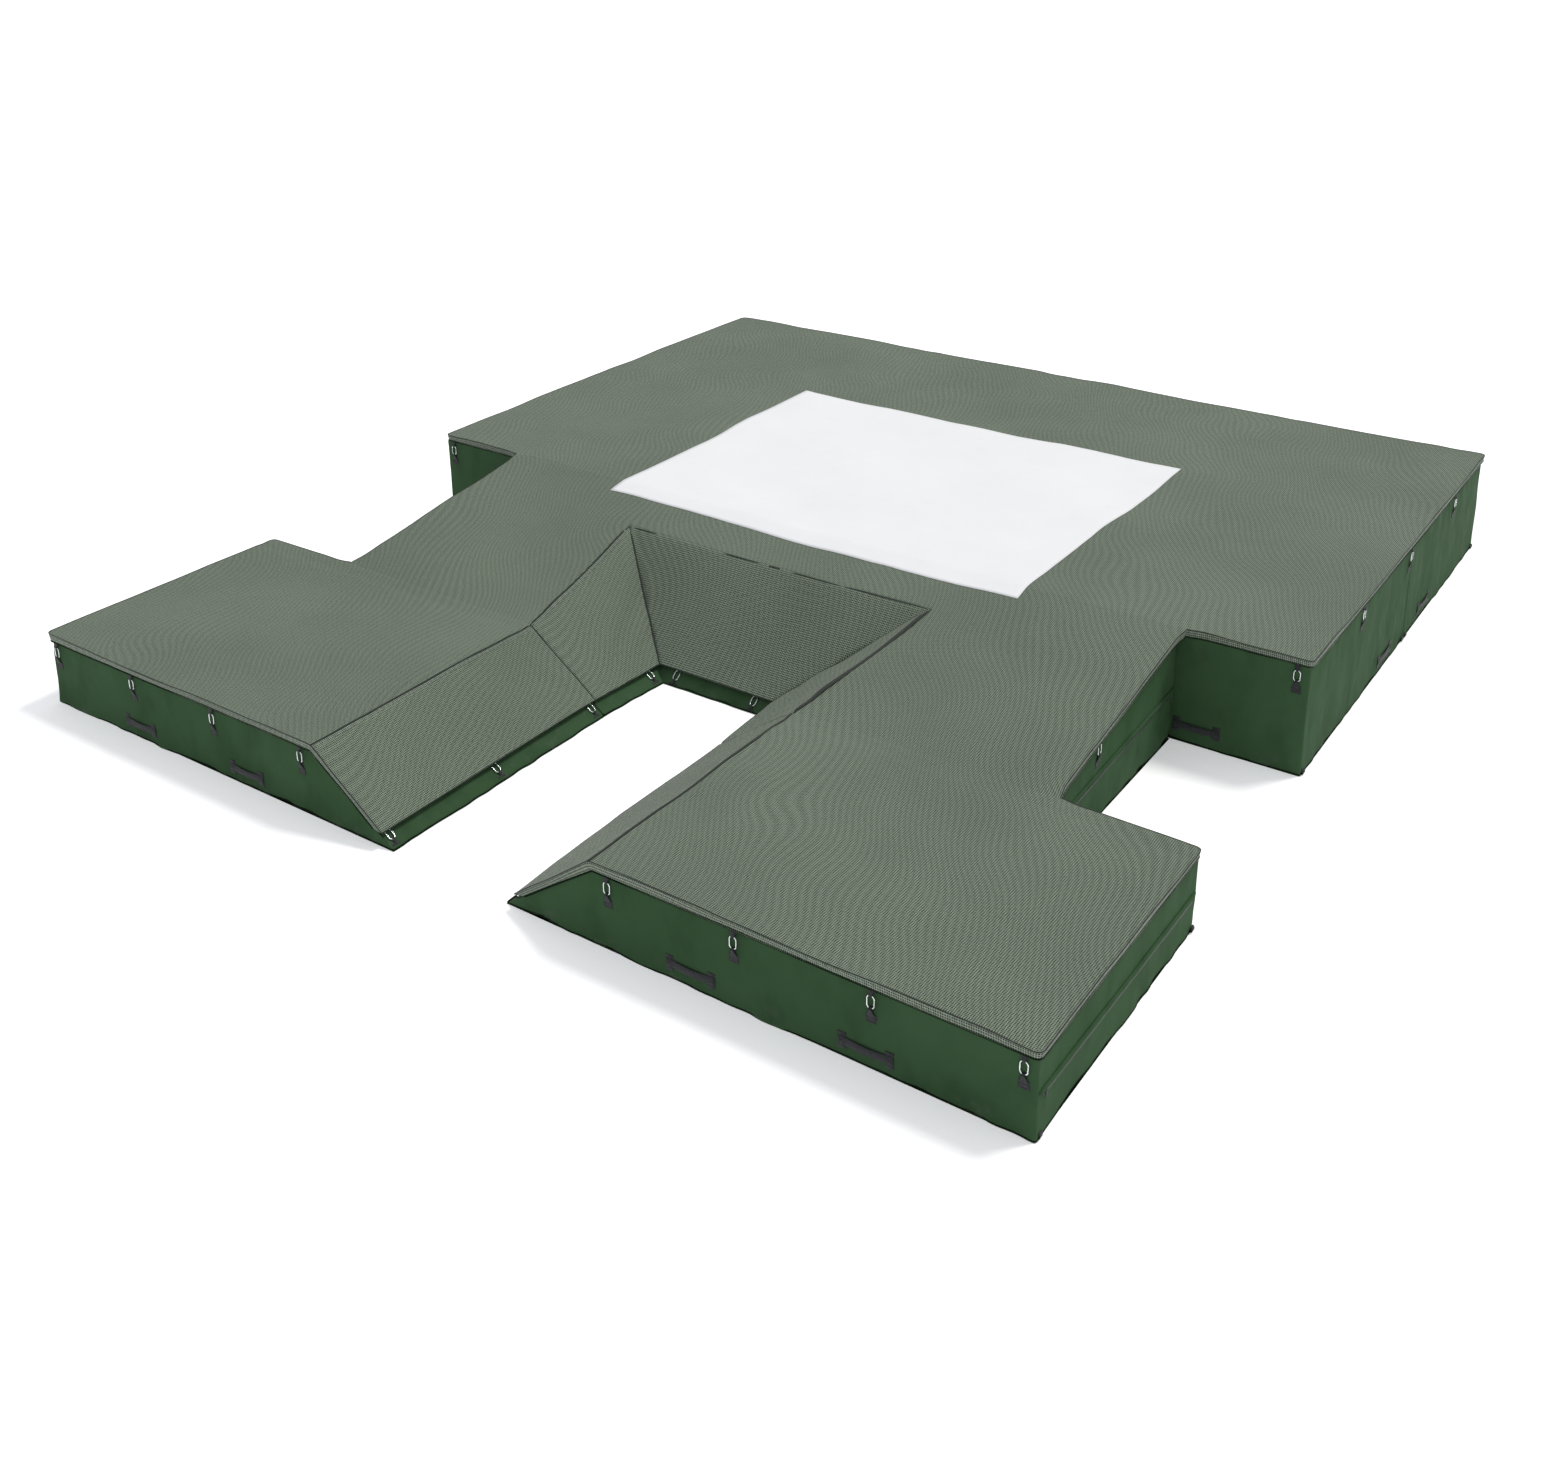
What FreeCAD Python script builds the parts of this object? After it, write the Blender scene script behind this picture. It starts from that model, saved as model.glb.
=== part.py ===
import FreeCAD, Part
import math
import os
import re

import Sketcher
from FreeCAD import Matrix, Placement, Vector

# Pole vault landing pit, in millimetres. Sub-parts are drawn with x to the right, y backwards from
# the front face of the base and z up from the floor, and are placed half the pit's length forwards,
# so that the origin is on the floor under the middle of the pit.

DIMENSIONS = {
    # base outline
    "wing_half": 3709, "mid_half": 2820, "back_half": 3682,
    "wing_len": 1930, "mid_end": 3780, "unit_joint": 6080, "pit_len": 8100,
    # heights of the top pad's upper face, and the pad
    "wing_top": 515, "back_top": 813, "pad_thick": 45, "pad_gap": 0.5,
    "pad_over": 12, "mid_over": 39, "hem_rise": 110,
    # notch: slopes as run over rise, sines of the same slopes, toes on the floor
    "bevel_cot": 1.3901, "bevel_sin": 0.5840, "toe_half": 447, "toe_lip": 12,
    "back_cot": 1.1184, "back_sin": 0.6666, "notch_toe": 2514.5, "fan_splay": 0.0703,
    "crest_y": 3260,
    # covers, seams between units and between foam panels
    "skin": 3, "unit_gap": 2, "seam": 4,
    # how far cutting blocks reach past the pit, and half-panels past its middle
    "margin": 60, "centre_lap": 5,
    # white landing panel
    "panel_half": 1765, "panel_front": 3600, "panel_rear": 6430, "panel_thick": 2,
    # snap clips
    "ring_wide": 48, "ring_tall": 80, "wire": 7, "gate_wire": 6, "stand_off": 9,
    "ring_drop": 35, "gate_gap": 1.5, "gate_pivot": 3.5, "knuckle": 7,
    "web_wide": 16, "web_thick": 1.8, "web_clear": 2.2, "tab_gap": 2.2,
    "web_foot": 1.0, "web_slot": 0.4, "web_sewn": 6,
    "patch_wide": 60, "patch_drop": 150, "patch_tall": 50, "patch_thick": 1.6,
    # carry handles and floor loops
    "handle_len": 315, "handle_wide": 48, "handle_thick": 3,
    "end_wide": 45, "end_tall": 85, "end_thick": 2,
    "floor_loop_wide": 30, "floor_loop_tall": 38, "floor_loop_thick": 4,
    # zips
    "tape_wide": 34, "tape_thick": 1.2, "chain_wide": 8, "chain_thick": 3,
    "slider_long": 24, "slider_wide": 15, "slider_thick": 2.4, "slider_clear": 0.5,
    "pull_long": 34, "pull_wide": 11, "pull_thick": 1.6, "chain_end": 10, "slider_start": 14,
}

# Places of fittings: across from the middle, or back from the front face

FRONT_CLIPS_X, REAR_CLIPS_X = (1200, 2020, 2830, 3640), (620, 1860, 3100)
SLOPE_CLIPS_Y, TOE_CLIPS_X = (50, 953, 1876, 2470), (-330, 330)
MIDDLE_CLIP_Y, SHOULDER_CLIP_X, SIDE_CLIPS_Y = 2588, 3600, (4867, 6010, 7229)
FRONT_HANDLES_X, REAR_HANDLES_X, SIDE_HANDLES_Y = (1740, 2800), (1240, 2480), (5570, 6585)
HANDLE_LEVEL, SHOULDER_HANDLE_X, SHOULDER_HANDLE_LEVEL = 97, 2990, 124
WING_LOOPS_Y, BACK_LOOPS_Y = (35, 1890), (3820, 6040, 6120, 8060)
# each zip's wall, start and end along it, and height at its start and end
ZIPS = {"wing": ("wing_half", 60, 1870, 235, 211), "middle": ("mid_half", 2010, 3740, 262, 342)}

doc = FreeCAD.newDocument("landing_pit")
sheet = doc.addObject("Spreadsheet::Sheet", "Dims")
for row, (alias, number) in enumerate(DIMENSIONS.items(), start=1):
    sheet.set(f"A{row}", alias)
    sheet.set(f"B{row}", str(number))
    sheet.setAlias(f"B{row}", alias)
doc.recompute()

SHIFT = "-pit_len / 2"
subparts = []


def bound(text):
    """The expression with every dimension's name pointed at the sheet."""
    return re.sub(r"[a-z_]+", lambda m: f"Dims.{m[0]}" if m[0] in DIMENSIONS else m[0], str(text))


def dim(name):
    return float(getattr(sheet, name))


def keep(item, name):
    """Mark an object as a sub-part to be written, under its own name."""
    item.Label = name
    subparts.append(item)
    return item


# Sketched blocks


def polygon_sketch(body, role, points, level=None):
    """A closed polygon on one of the body's origin planes, every corner bound to the sheet."""
    sketch = body.newObject("Sketcher::SketchObject", body.Name + "_outline")
    plane = next(f for f in body.Origin.OriginFeatures if f.Role == role)
    sketch.AttachmentSupport = [(plane, "")]
    sketch.MapMode = "FlatFace"
    if level is not None:
        sketch.setExpression("AttachmentOffset.Base.z", bound(level))
    count = len(points)
    start = [Vector(math.cos(2 * math.pi * i / count), math.sin(2 * math.pi * i / count), 0) * 100
             for i in range(count)]
    for i in range(count):
        sketch.addGeometry(Part.LineSegment(start[i], start[(i + 1) % count]), False)
    for i in range(count):
        sketch.addConstraint(Sketcher.Constraint("Coincident", i, 2, (i + 1) % count, 1))
    for i, corner in enumerate(points):
        for kind, text, axis in zip(("DistanceX", "DistanceY"), corner, (-2, -1)):
            if str(text) == "0":
                sketch.addConstraint(Sketcher.Constraint("PointOnObject", i, 1, axis))
                continue
            held = sketch.addConstraint(Sketcher.Constraint(kind, -1, 1, i, 1, 1.0))
            sketch.setExpression(f"Constraints[{held}]", bound(text))
    return sketch


def block(name, role, points, length, start=0, reverse=False):
    """A body padded from a polygon, with its sketch plane at start."""
    body = doc.addObject("PartDesign::Body", name)
    sketch = polygon_sketch(body, role, points, start)
    pad = body.newObject("PartDesign::Pad", name + "_pad")
    pad.Profile = sketch
    pad.setExpression("Length", bound(length))
    pad.Reversed = reverse
    body.setExpression("Placement.Base.y", bound(SHIFT))
    return body


def joined(name, items):
    fusion = doc.addObject("Part::MultiFuse", name)
    fusion.Shapes = items
    return fusion


def without(name, item, tool):
    cut = doc.addObject("Part::Cut", name)
    cut.Base = item
    cut.Tool = tool
    return cut


# The notch's planes. A shift moves a plane that far out of the base, square to itself.


def side_x(level, y="wing_len", shift="0"):
    """Half-width of the notch at a height; it narrows slightly towards the back past the wings."""
    return (f"(toe_half - ({shift}) / bevel_sin + ({level}) * bevel_cot"
            f" - (({y}) - wing_len) * fan_splay)")


def back_y(level, shift="0"):
    return f"(notch_toe - ({shift}) / back_sin + ({level}) * back_cot)"


def wing_block(name, side, outer, front, rear, floor, top, shift="0", lip=False):
    """A prism along y: upright outside, sloping on the notch side."""
    sign = "-" if side < 0 else ""
    low = "toe_lip" if lip else floor
    points = [(f"{sign}({side_x(low, shift=shift)})", low),
              (f"{sign}({side_x(top, shift=shift)})", top),
              (f"{sign}({outer})", top), (f"{sign}({outer})", floor)]
    if lip:
        points.append((points[0][0], floor))
    return block(name, "XZ_Plane", points, f"({rear}) - ({front})", f"-({front})", reverse=True)


def notch_cutter(name, shift, floor):
    """The space over the notch's corners and back, cut out of the middle block."""
    body = doc.addObject("PartDesign::Body", name)
    front, roof = "wing_len - margin", "back_top + margin"
    outlines = []
    for level in (floor, roof):
        near, far = side_x(level, front, shift), side_x(level, back_y(level, shift), shift)
        corners = [(near, front), (far, back_y(level, shift)),
                   ("-" + far, back_y(level, shift)), ("-" + near, front)]
        outlines.append(polygon_sketch(body, "XY_Plane", corners, level))
    loft = body.newObject("PartDesign::AdditiveLoft", name + "_loft")
    loft.Profile = outlines[0]
    loft.Sections = [outlines[1]]
    loft.Ruled = True
    body.setExpression("Placement.Base.y", bound(SHIFT))
    return body


def middle_block(name, outer, front, rear, floor, front_top, rear_top, shift):
    """The sloping middle, with the notch's corners and back taken out."""
    points = [(front, floor), (front, front_top), (rear, rear_top), (rear, floor)]
    slab = block(name + "_slab", "YZ_Plane", points, f"2 * ({outer})", f"-({outer})")
    return without(name, slab, notch_cutter(name + "_notch", shift, floor))


def back_block(name, outer, front, rear, floor, top):
    points = [(f"-({outer})", front), (outer, front), (outer, rear), (f"-({outer})", rear)]
    return block(name, "XY_Plane", points, f"({top}) - ({floor})", floor)


# Base units: a vinyl cover round a foam core


def wing_unit(side, word):
    rear, top = "wing_len - unit_gap / 2", "wing_top - pad_thick"
    outer = wing_block(f"{word}_wing_block", side, "wing_half", "0", rear, "0", top, lip=True)
    core = wing_block(f"{word}_wing_foam", side, "wing_half - skin", "skin", f"{rear} - skin",
                      "skin", f"{top} - skin", shift="-skin")
    keep(without(f"{word}_wing_shell", outer, core), f"{word}_wing_cover")
    keep(core, f"{word}_wing_core")


def middle_unit():
    front, rear = "wing_len + unit_gap / 2", "mid_end - unit_gap / 2"
    low, high = "wing_top - pad_thick", "back_top - pad_thick"
    whole = middle_block("middle_whole", "mid_half", front, rear, "0", low, high, "0")
    far = back_y("toe_lip")
    lip_points = [(side_x("toe_lip", "wing_len"), "wing_len"), (side_x("toe_lip", far), far),
                  ("-" + side_x("toe_lip", far), far), ("-" + side_x("toe_lip", "wing_len"), "wing_len")]
    toe = block("middle_toe", "XY_Plane", lip_points, "toe_lip")
    outer = without("middle_block", whole, toe)
    core = middle_block("middle_foam", "mid_half - skin", f"{front} + skin", f"{rear} - skin", "skin",
                        f"{low} - skin", f"{high} - skin", "-skin")
    keep(without("middle_shell", outer, core), "middle_cover")
    keep(core, "middle_core")


def landing_unit(word, front, rear):
    top = "back_top - pad_thick"
    outer = back_block(f"{word}_block", "back_half", front, rear, "0", top)
    core = back_block(f"{word}_foam", "back_half - skin", f"{front} + skin", f"{rear} - skin",
                      "skin", f"{top} - skin")
    keep(without(f"{word}_shell", outer, core), f"{word}_cover")
    keep(core, f"{word}_core")


# Top pad: a mesh cover round foam panels, folded down into the notch


def pit_block(name, grow, floor, drop, shift):
    """The whole pit as one block, its outline grown and its upper faces lowered."""
    wing, back = f"wing_top - ({drop})", f"back_top - ({drop})"
    front, rear = f"-({grow})", f"pit_len + ({grow})"
    wings = [wing_block(f"{name}_{word}", side, f"wing_half + ({grow})", front, "wing_len", floor,
                        wing, shift) for side, word in ((-1, "left"), (1, "right"))]
    middle = middle_block(f"{name}_middle", f"mid_half + mid_over - pad_over + ({grow})", "wing_len",
                          "mid_end", floor, wing, back, shift)
    landing = back_block(f"{name}_landing", f"back_half + ({grow})", "mid_end", rear, floor, back)
    return joined(name, [*wings, middle, landing])


def pad_slab(name, inset):
    """The folded slab of the top pad, shrunk by inset on every face."""
    upper = pit_block(f"{name}_upper", f"pad_over - {inset}", f"hem_rise + {inset}", inset,
                      f"pad_thick - {inset}")
    lower = pit_block(f"{name}_lower", "pad_over + margin", "0", f"pad_thick - pad_gap - {inset}",
                      f"pad_gap + {inset}")
    return without(name, upper, lower)


def foam_regions():
    """Plan outlines of the foam panels, with a seam between neighbours."""
    half = "seam / 2"
    upper, under = side_x("wing_top", shift="pad_thick"), side_x("wing_top - pad_thick")
    fold = f"(({upper} + {under}) / 2)"
    apex_y = "crest_y"
    crest = f"(wing_top + (back_top - wing_top) * ({apex_y} - wing_len) / (mid_end - wing_len))"
    apex_x = side_x(crest, apex_y, "pad_thick")
    toe_y = back_y("hem_rise", "pad_thick")
    toe_x = side_x("hem_rise", toe_y, "pad_thick")
    mitre = f"(({apex_y} - {toe_y}) / ({apex_x} - {toe_x}))"
    meet = f"({apex_y} - {apex_x} * {mitre})"
    lean = f"(({apex_x} - {fold}) / ({apex_y} - wing_len))"
    far = f"({apex_x} + {lean} * (mid_end - {apex_y}))"
    near, wide, centre = "-margin", "wing_half + margin", "centre_lap"
    mirrored = {
        "wing": [(f"{fold} + {half}", near), (wide, near), (wide, f"wing_len - {half}"),
                 (f"{fold} + {half}", f"wing_len - {half}")],
        "notch_side": [(centre, near), (f"{fold} - {half}", near),
                       (f"{fold} - {half}", f"wing_len - {half}"), (centre, f"wing_len - {half}")],
        "notch_corner": [(centre, f"wing_len + {half}"), (f"{fold} - {half}", f"wing_len + {half}"),
                         (f"{apex_x} - {half}", f"{apex_y} - {half} - seam"),
                         (centre, f"{meet} - {half} + {centre} * {mitre}")],
        "middle": [(f"{fold} + {half}", f"wing_len + {half}"), (wide, f"wing_len + {half}"),
                   (wide, f"mid_end - {half}"), (f"{far} + {half}", f"mid_end - {half}")],
    }
    across = {
        "notch_back": [("0", f"{meet} + seam"), (f"{apex_x} - seam", f"{apex_y} - {half}"),
                       (f"-({apex_x} - seam)", f"{apex_y} - {half}")],
        "middle_crest": [(f"{apex_x} - {half}", f"{apex_y} + {half}"),
                         (f"{far} - {half}", f"mid_end - {half}"),
                         (f"-({far} - {half})", f"mid_end - {half}"),
                         (f"-({apex_x} - {half})", f"{apex_y} + {half}")],
        "landing": [(wide, f"mid_end + {half}"), (wide, "pit_len + margin"),
                    (f"-({wide})", "pit_len + margin"), (f"-({wide})", f"mid_end + {half}")],
    }
    regions = {}
    for word, outline in mirrored.items():
        regions["right_" + word] = outline
        regions["left_" + word] = [(f"-({x})", y) for x, y in outline]
    regions.update(across)
    return regions


def top_pad():
    slab = pad_slab("pad_slab", "0")
    filling = pad_slab("pad_filling", "skin")
    foams = []
    for word, outline in foam_regions().items():
        region = block(f"region_{word}", "XY_Plane", outline, "back_top + margin")
        foam = doc.addObject("Part::Common", f"foam_{word}")
        foam.Base = filling
        foam.Tool = region
        foams.append(keep(foam, f"pad_foam_{word}"))
    stuffing = doc.addObject("Part::Compound", "stuffing")
    stuffing.Links = foams
    keep(without("pad_shell", slab, stuffing), "top_pad_cover")
    panel = block("panel", "XY_Plane",
                  [("-panel_half", "panel_front"), ("panel_half", "panel_front"),
                   ("panel_half", "panel_rear"), ("-panel_half", "panel_rear")],
                  "panel_thick", "back_top")
    keep(panel, "landing_panel")


# Fittings on the faces. Each site has a local frame: x along the face, y out of it, z up it.


def site(origin, up, out, top=0.0):
    """Placement of a fitting: origin on the face, top is how far the fitting starts below it."""
    along = out.cross(up)
    axes = Matrix(along.x, out.x, up.x, origin.x, along.y, out.y, up.y, origin.y,
                  along.z, out.z, up.z, origin.z, 0, 0, 0, 1)
    placed = Placement(axes)
    placed.Base = origin - up * top + Vector(0, -dim("pit_len") / 2, 0)
    return placed


UP = Vector(0, 0, 1)
FRONT, REAR = Vector(0, -1, 0), Vector(0, 1, 0)


def middle_base_top(y):
    slope = (dim("back_top") - dim("wing_top")) / (dim("mid_end") - dim("wing_len"))
    return dim("wing_top") - dim("pad_thick") + (y - dim("wing_len")) * slope


def notch_side_frame(side, y):
    """Point at hem height on the notch's side, and the directions up and out of its slope."""
    splay = dim("fan_splay") if y > dim("wing_len") else 0.0
    reach = dim("toe_half") + dim("hem_rise") * dim("bevel_cot") - (y - dim("wing_len")) * splay
    across = Vector(-side, 0, dim("bevel_cot"))
    across.y = -splay
    across.normalize()
    up = Vector(side * dim("bevel_cot"), 0, 1).normalize()
    return Vector(side * reach, y, dim("hem_rise")), up, across


def notch_back_frame(x):
    y = dim("notch_toe") + dim("hem_rise") * dim("back_cot")
    up = Vector(0, dim("back_cot"), 1).normalize()
    return Vector(x, y, dim("hem_rise")), up, Vector(0, -1, dim("back_cot")).normalize()


SIDE_LAG, BACK_LAG = 10, 4   # how much further down their slope the notch's clips start
SLOPE_PATCH_UP, SLOPE_PATCH_TALL = 14, 14   # patches there are shorter and sit higher


def clip_sites():
    """Lists of clip placements, face by face."""
    low, high = dim("wing_top") - dim("pad_thick"), dim("back_top") - dim("pad_thick")
    both = (-1, 1)
    front = [site(Vector(side * x, 0, low), UP, FRONT)
             for side in both for x in FRONT_CLIPS_X]
    slope = [site(*notch_side_frame(side, y), SIDE_LAG)
             for side in both for y in SLOPE_CLIPS_Y]
    slope += [site(*notch_back_frame(x), BACK_LAG) for x in TOE_CLIPS_X]
    walls = []
    for side in both:
        out = Vector(side, 0, 0)
        middle = Vector(side * dim("mid_half"), MIDDLE_CLIP_Y, middle_base_top(MIDDLE_CLIP_Y))
        shoulder = Vector(side * SHOULDER_CLIP_X, dim("mid_end") + dim("unit_gap") / 2, high)
        walls += [site(middle, UP, out), site(shoulder, UP, FRONT)]
        walls += [site(Vector(side * dim("back_half"), y, high), UP, out) for y in SIDE_CLIPS_Y]
    rear = [site(Vector(side * x, dim("pit_len"), high), UP, REAR)
            for side in both for x in REAR_CLIPS_X]
    return {"front": front, "slope": slope, "wall": walls, "rear": rear}


def group(name, shapes):
    """Separate solids of identical pieces, kept as one sub-part."""
    item = doc.addObject("Part::Feature", name)
    item.Shape = Part.makeCompound(shapes)
    return keep(item, name)


def placed(shape, placement):
    copy = shape.copy()
    copy.Placement = placement.multiply(copy.Placement)
    return copy


def box(wide, deep, tall, x, y, z):
    """A box centred on x, standing from y outwards and hanging down from z."""
    return Part.makeBox(wide, deep, tall, Vector(x - wide / 2, y, z - tall))


def ring_levels():
    """Half-width of the wire's middle line, and the heights of its arcs' centres."""
    bend = (dim("ring_wide") - dim("wire")) / 2
    top = -dim("ring_drop") - dim("ring_wide") / 2
    return bend, top, top - (dim("ring_tall") - dim("ring_wide"))


def ring_frame():
    """An oval clip frame of round wire, open along one side for its gate."""
    bend, top, bottom = ring_levels()
    stand = dim("stand_off")

    def at(x, z):
        return Vector(x, stand, z)

    path = Part.Wire([
        Part.Arc(at(-bend, top), at(0, top + bend), at(bend, top)).toShape(),
        Part.LineSegment(at(bend, top), at(bend, bottom)).toShape(),
        Part.Arc(at(bend, bottom), at(0, bottom - bend), at(-bend, bottom)).toShape()])
    section = Part.Wire(Part.makeCircle(dim("wire") / 2, at(-bend, top), UP))
    return path.makePipeShell([section], True, True)


def gate_piece():
    """The sprung gate, shown closed in the gap of the frame, with the knuckle it turns on."""
    bend, top, bottom = ring_levels()
    start = bottom + dim("gate_gap")
    length = top - bottom - 2 * dim("gate_gap")
    stem = Part.makeCylinder(dim("gate_wire") / 2, length, Vector(-bend, dim("stand_off"), start), UP)
    knuckle = Part.makeCylinder(dim("knuckle") / 2, dim("knuckle"),
                                Vector(-bend, dim("stand_off") - dim("knuckle") / 2,
                                       start + dim("gate_pivot")), REAR)
    return stem.fuse(knuckle)


def webbing_wrap(centre, tip, width):
    """Webbing folded round the clip's wire at height centre, its two legs meeting at height tip."""
    stand, turn = dim("stand_off"), 1 if centre > tip else -1
    inner = dim("wire") / 2 + dim("web_clear")
    outer = inner + dim("web_thick")
    tip_in = dim("web_foot")
    tip_out = tip_in + 2 * dim("web_thick")

    def outline(radius, low, high, end):
        def at(y, z):
            return Vector(-width / 2, y, z)

        edges = [
            Part.Arc(at(stand - radius, centre), at(stand, centre + turn * radius),
                     at(stand + radius, centre)).toShape(),
            Part.LineSegment(at(stand + radius, centre), at(high, end)).toShape(),
            Part.LineSegment(at(high, end), at(low, end)).toShape(),
            Part.LineSegment(at(low, end), at(stand - radius, centre)).toShape()]
        return Part.Face(Part.Wire(edges)).extrude(Vector(width, 0, 0))

    middle, gap = (tip_in + tip_out) / 2, dim("web_slot") / 2
    return outline(outer, tip_in, tip_out, tip).cut(
        outline(inner, middle - gap, middle + gap, tip + turn * dim("web_sewn")))


def clips(sites):
    bend, top, _ = ring_levels()
    hem_tab = webbing_wrap(top + bend, -dim("tab_gap"), dim("web_wide"))
    frame, gate = ring_frame(), gate_piece()
    for word, places in sites.items():
        group(f"{word}_clips", [placed(frame, at) for at in places])
    every = [at for places in sites.values() for at in places]
    group("hem_tabs", [placed(hem_tab, at) for at in every])
    for word in ("front", "wall"):
        for number, at in enumerate(sites[word], start=1):
            group(f"{word}_gate_{number}", [placed(gate, at)])
    group("fixed_gates", [placed(gate, at) for word in ("slope", "rear") for at in sites[word]])


def clip_anchors(sites):
    """The base's half of each fastening: a loop round the clip's foot, sewn to a patch."""
    bend, _, bottom = ring_levels()
    foot = bottom - bend
    drop, reach = dim("patch_drop"), dim("patch_thick")
    loops, patches = [], []
    for word, places in sites.items():
        tall, start = dim("patch_tall"), -drop
        if word == "slope":
            tall, start = SLOPE_PATCH_TALL, -drop + SLOPE_PATCH_UP
        loop = webbing_wrap(foot, start, dim("web_wide"))
        sewn = box(dim("patch_wide"), reach, tall, 0, 0, start)
        loops += [placed(loop, at) for at in places]
        patches += [placed(sewn, at) for at in places]
    group("clip_loops", loops)
    group("clip_patches", patches)


def handles():
    """H-shaped webbing handles: a strap laid over a sewn patch at each end."""
    low, pit = HANDLE_LEVEL, dim("pit_len")
    front_of_landing = dim("mid_end") + dim("unit_gap") / 2
    places = []
    for side in (-1, 1):
        shoulder = Vector(side * SHOULDER_HANDLE_X, front_of_landing, SHOULDER_HANDLE_LEVEL)
        places += [site(Vector(side * x, 0, low), UP, FRONT) for x in FRONT_HANDLES_X]
        places += [site(shoulder, UP, FRONT)]
        places += [site(Vector(side * dim("back_half"), y, low), UP, Vector(side, 0, 0))
                   for y in SIDE_HANDLES_Y]
        places += [site(Vector(side * x, pit, low), UP, REAR) for x in REAR_HANDLES_X]
    span, wide, thick = dim("handle_len"), dim("handle_wide"), dim("end_thick")
    strap = box(span, dim("handle_thick"), wide, 0, thick, wide / 2)
    shift = (span - dim("end_wide")) / 2
    ends = [box(dim("end_wide"), thick, dim("end_tall"), x, 0, dim("end_tall") / 2)
            for x in (-shift, shift)]
    group("handle_straps", [placed(strap, at) for at in places])
    group("handle_patches", [placed(end, at) for at in places for end in ends])


def floor_loops():
    """Small webbing loops at the floor, near the corners of the units."""
    tall = dim("floor_loop_tall")
    loop = box(dim("floor_loop_wide"), dim("floor_loop_thick"), tall, 0, 0, tall)
    places = []
    for side in (-1, 1):
        out = Vector(side, 0, 0)
        places += [site(Vector(side * dim("wing_half"), y, 0), UP, out) for y in WING_LOOPS_Y]
        places += [site(Vector(side * dim("back_half"), y, 0), UP, out) for y in BACK_LOOPS_Y]
    group("floor_loops", [placed(loop, at) for at in places])


def zip_fastener(word, side, face, start, end, first, last):
    """Tape with a chain along a wall, and its slider with a pull, at the front end."""
    lean = math.atan2(last - first, end - start)
    along = Vector(0, math.cos(lean), math.sin(lean))
    out = Vector(side, 0, 0)
    up = Vector(0, -math.sin(lean), math.cos(lean))
    at = site(Vector(side * face, start, first), up, out)
    length = (end - start) / math.cos(lean)
    run = 1 if out.cross(up).dot(along) > 0 else -1
    tape_thick, chain_top = dim("tape_thick"), dim("tape_thick") + dim("chain_thick")
    middle = run * length / 2
    tape = box(length, tape_thick, dim("tape_wide"), middle, 0, dim("tape_wide") / 2)
    chain = box(length - 2 * dim("chain_end"), dim("chain_thick"), dim("chain_wide"), middle,
                tape_thick, dim("chain_wide") / 2)
    group(f"{word}_zip", [placed(tape.fuse(chain).removeSplitter(), at)])
    clear, wall = dim("slider_clear"), dim("slider_thick")
    wide, long = dim("slider_wide"), dim("slider_long")
    centre = run * (long / 2 + dim("slider_start"))
    body = box(long, chain_top - tape_thick + wall, wide, centre, tape_thick + clear, wide / 2)
    way = dim("chain_wide") + 2 * clear
    slot = box(long + clear, dim("chain_thick"), way, centre, tape_thick + clear, way / 2)
    pull = box(dim("pull_wide"), dim("pull_thick"), dim("pull_long"), centre,
               chain_top + clear + wall, 0)
    group(f"{word}_zip_slider", [placed(body.cut(slot), at), placed(pull, at)])


def zips():
    for side, word in ((-1, "left"), (1, "right")):
        for unit, (wall, *places) in ZIPS.items():
            zip_fastener(f"{word}_{unit}", side, dim(wall), *places)


for unit_side, unit_word in ((-1, "left"), (1, "right")):
    wing_unit(unit_side, unit_word)
middle_unit()
landing_unit("front_landing", "mid_end + unit_gap / 2", "unit_joint - unit_gap / 2")
landing_unit("rear_landing", "unit_joint + unit_gap / 2", "pit_len")
top_pad()
clip_places = clip_sites()
clips(clip_places)
clip_anchors(clip_places)
handles()
floor_loops()
zips()
doc.recompute()

failed = [item.Label for item in doc.Objects if {"Invalid", "Error"} & set(item.State)]
failed += [item.Label for item in subparts if item.Shape.isNull() or not item.Shape.isValid()]
if failed:
    raise RuntimeError("failed: " + ", ".join(failed))

os.makedirs("parts", exist_ok=True)
for item in subparts:
    item.Shape.exportStep(f"parts/{item.Label}.step")
    solids = len(item.Shape.Solids)
    print(f"{item.Label:28s} solids {solids:3d}  volume {item.Shape.Volume / 1e6:12.3f} litres")
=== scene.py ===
"""Visual model of a pole vault landing pit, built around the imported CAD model.

Everything is in metres. Shapes are drawn with x to the right, y backwards from the front face of
the base and z up from the floor; mesh_piece() moves them to the model's own origin.
"""
import itertools
import math

import bpy
import numpy as np
from mathutils import Matrix, Vector


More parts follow.
